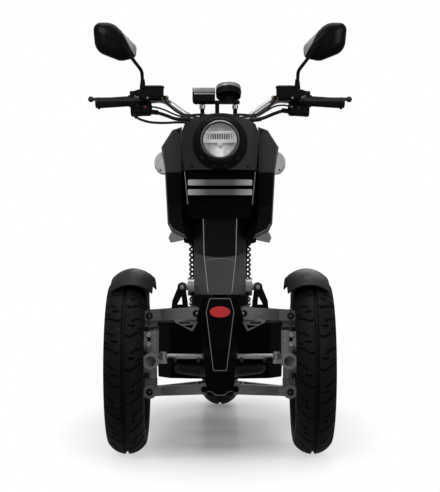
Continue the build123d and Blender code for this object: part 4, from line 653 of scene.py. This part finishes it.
def dress_rods():
    """Ribbed boots on the tie rods' outer ends, and a locknut at each end."""
    boot = ribbed(11, 2.6, 6, [(0, 7.2), (0.6, 9.8), (1.6, 9.8), (2.2, 7.2)])
    for side, body in ((1, "rod_left"), (-1, "rod_right")):
        outer, inner = (part(side * x, y, TIE_Z) for x, y in (TIE_PIN, RELAY_PIN))
        along = inner - outer
        dress("rod_boot_" + body, [turned(boot, outer, along, 28)], body, "cable_rubber")
        nuts = [turned([(at, 6.8), (at + 0.6, 9.2), (at + 6.4, 9.2), (at + 7, 6.8)], outer, along, 6)
                for at in (27.5, along.length * 1000 - 21)]
        dress("rod_locknuts_" + body, nuts, body, "lever_alloy")


def dress_wheels():
    """Tyre valves, and the bolts round the hub motor."""
    valve_r, valve_turn = 138, 1.2
    y, z = cos(valve_turn), sin(valve_turn)
    profile = [(0, 3), (6, 3), (6.5, 4.5), (22, 4.5), (23.5, 3.5)]
    for side, body in ((1, "wheel_left"), (-1, "wheel_right")):
        foot = part(side * (TRACK_HALF + 12), valve_r * y, FRONT_R + valve_r * z)
        stem = turned(profile, foot, Vector((side * 0.9, -0.4 * y, -0.4 * z)), 16)
        dress("valve_" + body, [stem], body, "cable_rubber")
    bolts = []
    for side in (-1, 1):
        for turn in circle(8):
            start = part(side * 300, REAR_Y + 52 * cos(turn), REAR_R + 52 * sin(turn))
            bolts.append(bolt(tree_of("rim_rear").ray_cast(start, LEFT * -side)[0], LEFT * side, 4.2, 3.2))
    dress("hub_motor_bolts", bolts, "wheel_rear", "bright_steel", "lever_alloy")


# ---------------- nose, neck and beak
def dress_nose():
    """Thin light lines along the edges of the beak, nose, neck and wings (at the grille's sides, painted edge
    highlights), and the panels' screws.
    """
    mid = MIDDLE_X
    # piece, nodes that it lies on, its look, its lines: pixels and the radius in mm
    trims = (
        ("beak_inset_line", ("beak",), None,
         [([(mid, 298.7), (mid + 10.4, 298.7), (mid + 13.8, 311.5), (mid + 6.6, 370.5),
            (mid, 370.5)], 0.9)]),
        ("beak_foot_line", ("beak", "front_frame", "lower_arms", "belly_pan", "main_frame"), None,
         [([(mid, 395.2), (mid + 4.5, 394.8), (mid + 8.5, 391.6), (mid + 13.5, 391.0)], 0.9)]),
        # the lines at the grille's sides are painted highlights on the panels' edges
        ("grille_side_painted_highlights", ("grille_recess", "nose_panel", "side_wings"), None,
         [([(184.3, 171.5), (187.5, 205)], 1.1)]),
        ("neck_rails", ("neck_cover",), None,
         [([(203.0, 217.5), (203.8, 256), (207.8, 292.5)], 1.4),
          ([(mid, 258.5), (mid + 9, 259.2), (mid + 15.6, 261)], 0.8)]),
        ("wing_edge_lines", ("side_wings",), None,
         [([(169.6, 224.0), (172.6, 229.2), (185.6, 235.8)], 0.9)]),
        ("lamp_chin_notches", ("headlamp_housing",), "lever_alloy",
         [([(200.2, 156.4), (202.2, 159.2)], 0.9), ([(212.5, 166.6), (215.5, 165.8)], 0.8)]),
    )
    for name, on, look, lines in trims:
        strips = [along_photo(points, radius, *on) for points, radius in lines]
        dress(name, many(strips), "frame", "light_grey", look)
    spots = [seen(px, py, "side_wings", "nose_panel", "neck_cover")
             for px, py in ((178.0, 131.0), (175.5, 214.0), (192.0, 166.0), (206.5, 222.5))]
    dress("panel_screws", many([bolt(*spot, 3.4, 1.6) for spot in spots]), "frame", "satin_black")


def dress_indicators():
    """Ribs moulded on the clear side lenses, a dark seal along the lower edge and the lens screw."""
    middle_x, middle_z, wide, tall, front = 158.0, 776.0, 25.0, 31.0, 232.0

    def round_lens(scale, start, stop, y, radius):
        turns = [radians(start + (stop - start) * index / 28) for index in range(29)]
        points = [part(middle_x + wide * scale * cos(turn), y, middle_z + tall * scale * sin(turn))
                  for turn in turns]
        return tube_shape(points, radius, 8)

    ribs = [round_lens(scale, -78, 78, front - 0.2, 0.9) for scale in (0.82, 0.62)]
    dress("indicator_ribs", many(ribs), "frame", "light_grey", "dial_white")
    dress("indicator_seals", both(round_lens(0.955, -96, -18, front - 0.4, 1.2)), "frame", "light_grey")
    dress("indicator_screws", both(bolt(part(166.5, front, 756), AHEAD, 2.6, 1.0)), "frame", "satin_black")


def dress_duct():
    """The duct's walls and sill that close the gap between the grille's recess and the nose."""
    wall = [(93.6, 748.6), (90.4, 748.6), (71.4, 617.6), (74.6, 617.6)]
    sill = [(74.0, 621.4), (-74.0, 621.4), (-73.4, 617.8), (73.4, 617.8)]
    wall, sill = (skin([[part(x, y, z) for x, z in corners] for y in (121, 176)])
                  for corners in (wall, sill))
    dress("grille_duct", both(wall) + [sill], "frame", "satin_black", "deep_black")


# ---------------- headlamp
def lamp_relief(x, z):
    """Depth behind the reflector's face: flutes, a rounded bar, a row of slots, a fine band, a bowl below."""
    if z > 26:
        return 6 + 1.1 * cos(2 * pi * x / 4.6)
    if z > 17:
        return 4.5 - 1.5 * cos(pi * (z - 21.5) / 9)
    if z > 3:
        slot = 0.5 + 0.5 * cos(2 * pi * x / 6.2)
        return 5 + (5.0 if abs(x) < 25 else 2.7 if abs(x) < 37 else 0.6) * slot ** 0.9
    if z > -7:
        return 5 + 0.5 * cos(2 * pi * x / 3.2)
    return 5 + 9 * sqrt(max(0.0, 1 - (x * x + z * z) / LAMP_R ** 2)) + 0.5 * cos(12 * atan2(z, x))


def dress_headlamp():
    """The reflector's disc with its relief, and the bulb's shield."""
    ring_count, spokes, rim_wide, rim_deep = 64, 144, 4, 1.4
    rings = []
    for index in range(1, ring_count + 1):
        r = LAMP_R * index / ring_count
        rim = max(0.0, (r - LAMP_R + rim_wide) / rim_wide)
        spots = [(r * cos(turn), r * sin(turn)) for turn in circle(spokes)]
        rings.append([part(x, LAMP_Y + lamp_relief(x, z) * (1 - rim) + rim_deep * rim, LAMP_Z + z)
                      for x, z in spots])
    verts, faces = skin(rings, capped=False)
    fan = [(0, 1 + spoke, 1 + (spoke + 1) % spokes) for spoke in range(spokes)]
    disc = [part(0, LAMP_Y + 16, LAMP_Z)] + verts, fan + [[1 + index for index in face] for face in faces]
    dress("lamp_reflector", [disc], "frame", "chrome", "lamp_reflector", angle=25)
    shield = turned([(0, 8.5), (-3, 8.5), (-6, 6.5), (-7.5, 3), (-7.8, 0.3)],
                    part(0, LAMP_Y + 12, LAMP_Z - 9), -AHEAD, 32)
    dress("lamp_bulb_shield", [shield], "frame", "chrome", "dial_white")


# ---------------- handlebar
def dress_instruments():
    """The display's hood, line and glass, the gauge with its ticks and needle, and the legs' collars."""
    # piece, middle, size, rounding, slot, look
    for name, place, size, rounding, slot, look in (
            ("display_hood", (-46, 281.8, 986), (62, 2.4, 13), 1.0, "light_grey", "hood_silver"),
            ("display_line", (-45, 281.4, 975.2), (56, 2.2, 4.4), 1.0, "chrome", None),
            ("display_glass", (-46, 302, 992.5), (54, 31, 1.6), 0.7, "gloss_black", None)):
        dress(name, [slab(part(*place), size, rounding)], "steering", slot, look)
    axis, top = Vector((0, 0.35, 0.937)).normalized(), part(24, 298, 994)
    up = axis.cross(LEFT)

    def on_dial(turn, reach, proud):
        way = LEFT * cos(radians(turn)) + up * sin(radians(turn))
        return top + way * (reach / 1000) + axis * (proud / 1000)

    rim = turned([(-9, 35.2), (-0.5, 35.7), (1.6, 35.0), (1.8, 33.5), (0.2, 32.2)], top, axis, 64,
                 closed=True)
    dress("gauge_rim", [rim], "steering", "light_grey", "gauge_silver")
    face = turned([(0.1, 32.2), (0.4, 32), (0.4, 0.2)], top, axis)
    dress("gauge_face", [face], "steering", "gloss_black", "dial_face")
    marks = []
    for index in range(25):
        turn = -40 + 260 * index / 24
        long, radius = (4, 0.3) if index % 4 else (7, 0.5)
        marks.append(tube_shape([on_dial(turn, 30.2 - long, 0.6), on_dial(turn, 30.2, 0.6)], radius, 6))
    needle_turn = 200
    marks.append(tube_shape([on_dial(needle_turn, -6, 1.2), on_dial(needle_turn, 22, 1.2)], [1.2, 0.4], 8))
    dress("gauge_marks", marks, "steering", "light_grey", "dial_white")
    band = turned([(-19.5, 35.4), (-19.2, 36.1), (-11.2, 36.1), (-10.9, 35.4)], top, axis, 64, closed=True)
    dress("gauge_band", [band], "steering", "satin_black")
    collars = [turned([(0, 6.2), (0.8, 8.5), (11, 8.5), (12, 6.2)], part(x, 300, 934), UP, 20)
               for x in (-50, 43)]
    dress("leg_collars", collars, "steering", "bright_steel")


def dress_grips():
    """The grips' rubber ribs and the rings of the bar's end weights."""
    end, bend = part(352, 362, 957), part(160, 346, 968)
    ribs = ribbed(6, 4.6, 18, [(0, 14.3), (0.8, 15.1), (2.8, 15.1), (3.6, 14.3)])
    dress("grip_ribs", both(turned(ribs, end, bend - end, 36)), "steering", "grip_rubber")
    ring = turned([(-6, 13.1), (-5.8, 13.7), (-3, 13.7), (-2.8, 13.1)], end, bend - end, 30)
    dress("bar_end_rings", both(ring), "steering", "lever_alloy")


def dress_controls():
    """Bolts and screws of the brake cylinders, the switches, and the sleeves where cables enter the pods."""
    banjos = [turned([(0, radius * 0.82), (0.8, radius), (4.2, radius), (5, radius * 0.82)],
                     part(x, 315, 968), -LEFT, 6) for x, radius in ((166.5, 7.2), (157.5, 5.6), (151.5, 6.4))]
    dress("banjo_bolts", many(banjos), "steering", "bright_steel", "banjo_brass")
    screws = [bolt(part(x, y, 1000.4), UP, 2.6, 1.2) for y in (304, 330) for x in (165, 209)]
    dress("reservoir_screws", many(screws), "steering", "bright_steel")
    # piece, x, z, width, height, look
    for name, x, z, wide, tall, look in (("stop_switch", -215, 944, 10, 7, "stop_red"),
                                         ("start_switch", -236, 947, 6, 9, "lever_alloy"),
                                         ("horn_switch", 204, 944, 9, 4.5, "light_grey"),
                                         ("lamp_switch", 226, 941, 8, 8, "lever_alloy")):
        dress(name, [slab(part(x, 335.4, z), (wide, 6, tall), 1.2)], "steering", "satin_black", look)
    spots = [seen(px, py, "brake_masters", "mirror_stems")[0]
             for px, py in ((140.4, 90.5), (147.2, 97.6), (137.0, 97.6))]
    dress("clamp_screws", many([bolt(spot, AHEAD, 3.6, 2.6) for spot in spots]), "steering", "bright_steel")
    sleeves = []
    # start, stop and radius; every other ring is a little smaller
    for start, stop, radius in (((-204, 348, 932), (-180, 318, 926), 7.5),
                                ((-248, 348, 936), (-238, 308, 911), 5.0),
                                ((204, 348, 932), (180, 320, 932), 7.5),
                                ((-86, 246.4, 899), (-116, 262, 900.4), 6.6),
                                ((86, 246.4, 896), (114, 260, 901.5), 6.6)):
        a, b = part(*start), part(*stop)
        points = [a + (b - a) * index / 8 for index in range(9)]
        sleeves.append(tube_shape(points, [radius - 0.9 * (index % 2) for index in range(9)], 14))
    dress("cable_sleeves", sleeves, "steering", "cable_rubber")


def dress_pods():
    """The switch pods' rounded covers, split round the bar, with their screws."""
    outline = rounded_outline(((195, 920, 10), (195, 950, 8), (222, 995, 12), (254, 995, 23),
                               (254, 920, 29)))
    covers = [puffed(outline, 336.2, 350.4, 5), puffed(outline, 351.2, 367, 6)]
    dress("pod_covers", many(covers), "steering", "satin_black", angle=50)
    screws = [bolt(part(x, 336.2, z), AHEAD, 2.8, 1.4) for x, z in ((242, 974), (214, 930))]
    dress("pod_screws", many(screws), "steering", "bright_steel")


def dress_mirrors():
    """Domed shells with a crease from the top edge down to the stem, and the rim that holds the glass."""
    outline = rounded_outline(((369, 1194, 22), (309, 1194, 48), (241, 1126, 24), (243, 1091, 17),
                               (288, 1081, 38), (361, 1110, 44)))
    middle, crease, crease_foot = Vector((304, 1137)), Vector((300, 1196)), Vector((268, 1135))
    run = (crease_foot - crease).normalized()
    inward = Vector((run.y, -run.x))
    front, back = (corner[1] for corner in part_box("mirror_shells"))
    deep, rows, rim_wide, rim_deep, rim_gap, dome_gap = back - front, 22, 2.6, 0.0035, 0.0002, 0.0008

    def ring(spots, heights):
        return [Vector((spot.x / 1000, y, spot.y / 1000)) for spot, y in zip(spots, heights)]

    def dome(spot, share):
        height = deep * max(0.0, 1 - share ** 3.2) ** 0.62
        past = (spot - crease).dot(inward)
        if past > 0:
            height = min(height, deep * max(0.12, 0.93 - past / 58))
        return back - dome_gap - min(deep - dome_gap, height)

    rings = []
    for inset, depth in ((rim_wide, rim_deep), (rim_wide, 0.0), (0.0, 0.0)):
        spots = [point + (middle - point).normalized() * inset for point in outline]
        rings.append(ring(spots, [back - rim_gap - depth] * len(spots)))
    for row in range(rows + 1):
        share = 1 - row / rows
        spots = [middle + (point - middle) * share for point in outline]
        rings.append(ring(spots, [dome(spot, share) for spot in spots]))
    # the facet past the crease is painted light grey, a painted reflection of the backdrop
    finish["mirror_shell_painted_reflection"] = surface(
        "mirror_shell_painted_reflection", grey(0.0022, 0.0002), 0.3, 0, 0.09, (6, 0.1), (2600, 0.04, 0.1), coat=0.03,
        painted_facet_reflection=(*crease, *inward, grey(0.3, 0.005)))
    dress("mirror_shell_domes", both(skin(rings)), "steering", "gloss_black", "mirror_shell_painted_reflection", angle=24,
          replaces=["mirror_shells"])


# ---------------- saddle
SEAT_FRONT, SEAT_REAR, SEAT_BASE, SEAT_CLOSING = 790, 1514, 745.4, 34
SEAT_ROWS, SEAT_AROUND, SEAT_BELLY = 190, 96, 0.36      # the belly is this share of the height up
SEAT_SEAMS = (*range(880, 1190, 44), *range(1262, 1480, 44))
# stations along Y: half the width, and the top's height
SEAT_PLAN = ((790, 92), (860, 106), (950, 123), (1040, 138), (1120, 140), (1200, 139.5), (1300, 139),
             (1380, 136), (1450, 118), (1514, 96))
SEAT_TOP = ((790, 776), (815, 786), (880, 797), (1000, 799), (1120, 802), (1190, 808), (1240, 820),
            (1300, 833), (1400, 835), (1480, 835), (1514, 812))


def along_table(table, y):
    """A table's value at a station, eased a little between its rows."""
    for (ay, av), (by, bv) in zip(table, table[1:]):
        if y <= by:
            t = max(0.0, (y - ay) / (by - ay))
            return av + (bv - av) * (t * t * (3 - 2 * t) * 0.35 + t * 0.65)
    return table[-1][1]


def seat_size(row):
    """A row's station, half its width and its height; both ends close in a rounded nose."""
    y = SEAT_FRONT + (SEAT_REAR - SEAT_FRONT) * row / SEAT_ROWS
    from_end = min(y - SEAT_FRONT, SEAT_REAR - y, SEAT_CLOSING)
    full = sqrt(1 - ((SEAT_CLOSING - from_end) / SEAT_CLOSING) ** 2)
    half = along_table(SEAT_PLAN, y) * (0.80 + 0.20 * full)
    return y, half, (along_table(SEAT_TOP, y) - SEAT_BASE) * (0.42 + 0.58 * full)


def seat_dip(u, y):
    """How far the top sinks into its seams at u, 0 in the middle and 1 at the side."""
    channel_half, channel_deep, channel_end = 9, 3.4, 0.74
    seam_at, seam_half, seam_deep = 0.76, 0.05, 2.6
    dip = 0.0
    for seam in SEAT_SEAMS:
        near = abs(y + 10 * u * u - seam)
        if near < channel_half and u < channel_end:
            dip += channel_deep * (1 - near / channel_half) ** 2 * min(1.0, (channel_end - u) / 0.06)
    near = abs(u - seam_at)
    if near < seam_half:
        dip += seam_deep * (1 - near / seam_half) ** 2
    return dip


def dress_seat():
    """The saddle: a crowned pad with cross channels and a raised pillion step, piping and hinge ears."""
    rings, edge = [], []
    for row in range(SEAT_ROWS + 1):
        y, half, tall = seat_size(row)
        belly = tall * SEAT_BELLY
        ring = []
        for turn in circle(SEAT_AROUND):
            c, s = cos(turn), sin(turn)
            x = half * abs(c) ** 0.62 * (1 if c >= 0 else -1)
            if s < 0:
                x *= 1 - 0.1 * abs(s)
                height = belly * (1 - min(1.0, abs(s) ** 0.7 * 1.25))
            else:
                height = belly + (tall - belly) * s ** 0.78
            if s > 0:
                u = abs(x) / half
                height += 1.5 * cos(pi * u / 2) - seat_dip(u, y)
            ring.append(part(x, y, SEAT_BASE + height))
        rings.append(ring)
        edge.append(part(half + 0.4, y, SEAT_BASE + belly))
    pad = dress("seat_pad", [skin(rings)], "seat_body", "seat_cover", angle=180, replaces=["seat"])
    dress("seat_piping", both(tube_shape(edge[2:-2:2], 2.2, 8)), "seat_body", "seat_cover")
    ears = [turned([(0, 8), (10, 8), (10, 4.1), (0, 4.1)], part(x, 798, 738), LEFT, 32, closed=True)
            for x in (-28, 18)]
    dress("seat_hinge_ears", ears, "seat_body", "seat_cover", "satin_black")


# ---------------- rear and floor
def dress_rear():
    """The rear dampers with coil springs over their bodies, collars and rubber-bushed eyes."""
    low, high = part(87, 1232, 300), part(87, 1130, 628)
    along, side, up = frame_of(high - low)
    length = (high - low).length * 1000
    coils, coil_r, wire_r, spring_start, spring_stop, steps = 12, 16.8, 3.6, 64, 286, 312
    wire = []
    for step in range(steps + 1):
        t = step / steps
        turn = 2 * pi * coils * t
        at = spring_start + (spring_stop - spring_start) * (t + 0.02 * sin(2 * pi * t))
        wire.append(low + along * (at / 1000) + (side * cos(turn) + up * sin(turn)) * (coil_r / 1000))
    body = turned([(8, 8.5), (30, 8.5), (32, 11.8), (118, 11.8), (121, 10.5), (122, 6.2), (296, 6.2),
                   (298, 11.5), (322, 11.5), (324, 8.5), (length - 8, 8.5)], low, along, 36)
    collars = [turned([(at - 4, 6), (at - 4, 19.6), (at - 3, 20.3), (at + 3, 20.3), (at + 4, 19.6),
                       (at + 4, 6)], low, along, 40) for at in (58, 291)]
    eye = [(-9.2, 6.2), (-9.2, 11.2), (-8.4, 12), (8.4, 12), (9.2, 11.2), (9.2, 6.2)]
    bush = [(-10, 6.1), (-10, 9.4), (10, 9.4), (10, 6.1)]
    eyes = [turned(eye, spot, LEFT, 36, closed=True) for spot in (low, high)]
    bushes = [turned(bush, spot, LEFT, 30, closed=True) for spot in (low, high)]
    dress("rear_dampers", many([body] + eyes), "frame", "satin_black", replaces=["rear_shocks"])
    dress("rear_springs", both(tube_shape(wire, wire_r)), "frame", "satin_black", "wheel_black")
    dress("rear_spring_collars", many(collars), "frame", "lever_alloy")
    dress("rear_shock_bushes", many(bushes), "frame", "cable_rubber")


def dress_tail_lamp():
    """Upright ribs moulded on the tail lamp."""
    low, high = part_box("tail_lamp")
    ribs, count, margin, sunk = [], 9, 0.005, 0.0004
    for index in range(1, count + 1):
        x = low[0] + (high[0] - low[0]) * index / (count + 1)
        ends = [Vector((x, high[1] - sunk, z)) for z in (low[2] + margin, high[2] - margin)]
        ribs.append(tube_shape(ends, 1.3, 8))
    dress("tail_lamp_ribs", ribs, "frame", "red_lens")


def dress_floor():
    """Rubber ribs along the floorboard, and its screws."""
    floor_z, rib_pitch = 336, 22
    # a rib's points: y, height over the floor, radius
    profile = (486, -0.4, 1.2), (492, 0.4, 2.6), (770, 0.4, 2.6), (776, -0.4, 1.2)
    ribs = [tube_shape([part(index * rib_pitch, y, floor_z + high) for y, high, _ in profile],
                       [radius for *_, radius in profile]) for index in range(-6, 7)]
    dress("floor_ribs", ribs, "frame", "floor_rubber")
    screws = [bolt(part(172, y, floor_z), UP, 4.2, 1.6) for y in (530, 650, 770)]
    dress("floor_screws", many(screws), "frame", "bright_steel", "lever_alloy")


for dress_some in (dress_calipers, dress_pivots, dress_rods, dress_wheels, dress_nose, dress_indicators,
                   dress_duct, dress_headlamp, dress_instruments, dress_grips, dress_controls, dress_pods,
                   dress_mirrors, dress_seat, dress_rear, dress_tail_lamp, dress_floor):
    dress_some()


# ---------------- stage, light and camera
def lay_floor():
    """A pale floor that keeps the trike's shadow and fades to the white backdrop around it."""
    fade_x, fade_y = 0.6, 1.5
    mesh = bpy.data.meshes.new("studio_floor")
    mesh.from_pydata([(-14, -8, 0), (14, -8, 0), (14, 26, 0), (-14, 26, 0)], [], [(0, 1, 2, 3)])
    floor = bpy.data.objects.new("studio_floor", mesh)
    scene.collection.objects.link(floor)
    material, tree, bsdf = node_maker("studio_floor")
    plain = object_coords(tree)
    tone = mix_colours(tree, spread(tree, noise(tree, plain, 2), 0, 1), grey(0.9), grey(0.93))
    set_inputs(bsdf, {"Base Color": tone, "Roughness": 0.28, "Specular IOR Level": 0.4})
    rays = add(tree, "LightPath").outputs
    direct = calc(tree, "MAXIMUM", rays["Is Camera Ray"], rays["Is Transmission Ray"])
    glow = add(tree, "Emission", {"Strength": calc(tree, "ADD", times(tree, direct, 0.72), 0.28)})
    x, y, _ = axes_of(tree, plain)
    squares = [calc(tree, "POWER", calc(tree, "DIVIDE", axis, size), 2.0)
               for axis, size in ((x, fade_x), (y, fade_y))]
    fade = spread(tree, calc(tree, "SQRT", calc(tree, "ADD", *squares)), 0.12, 1.0, 0.36, 0.82)
    mixed = add(tree, "MixShader", {0: fade, 1: bsdf.outputs[0], 2: glow.outputs[0]})
    set_inputs(tree.nodes["Material Output"], {"Surface": mixed.outputs[0]})
    mesh.materials.append(material)


def light_studio():
    """A white backdrop for the camera, a soft even world for the object, and four wide lamps."""
    world = scene.world or bpy.data.worlds.new("studio")
    scene.world = world
    world.use_nodes = True
    tree = world.node_tree
    tree.nodes.clear()
    rays = add(tree, "LightPath").outputs
    soft, white = (add(tree, "Background", {"Color": grey(1), "Strength": power}) for power in (0.3, 1.0))
    glossy = times(tree, rays["Is Glossy Ray"], 0.1)
    through = calc(tree, "MAXIMUM", glossy, rays["Is Transmission Ray"])
    shown = calc(tree, "MAXIMUM", rays["Is Camera Ray"], through)
    chosen = add(tree, "MixShader", {0: shown, 1: soft.outputs[0], 2: white.outputs[0]})
    add(tree, "OutputWorld", {"Surface": chosen.outputs[0]})
    # name, place, aim, width in metres, power
    for name, place, aim, size, power in (("key", (-1.9, -3.2, 2.9), (0, 0, 0.6), 1.8, 56),
                                          ("fill", (2.2, -2.8, 2.0), (0, 0, 0.5), 1.8, 34),
                                          ("top", (0, 0.2, 3.4), (0, 0, 0), 2.6, 52),
                                          ("back", (0.6, 3.2, 2.6), (0, 0.2, 0.6), 2.0, 40)):
        lamp = bpy.data.lights.new(name, "AREA")
        lamp.size = size
        lamp.energy = power
        holder = bpy.data.objects.new(name, lamp)
        holder.location = place
        holder.rotation_euler = (Vector(aim) - Vector(place)).to_track_quat("-Z", "Y").to_euler()
        scene.collection.objects.link(holder)


def set_camera():
    """The picture's view: its taller side spans the sensor."""
    lens = bpy.data.cameras.new("camera")
    lens.sensor_width = 36.0
    lens.lens = lens.sensor_width * FOCAL / PICTURE_TALL
    camera = bpy.data.objects.new("camera", lens)
    camera.location = CAMERA_AT
    camera.rotation_euler = (radians(90.65), 0, 0)
    scene.collection.objects.link(camera)
    scene.camera = camera
    scene.view_settings.view_transform = "Standard"


lay_floor()
light_studio()
set_camera()
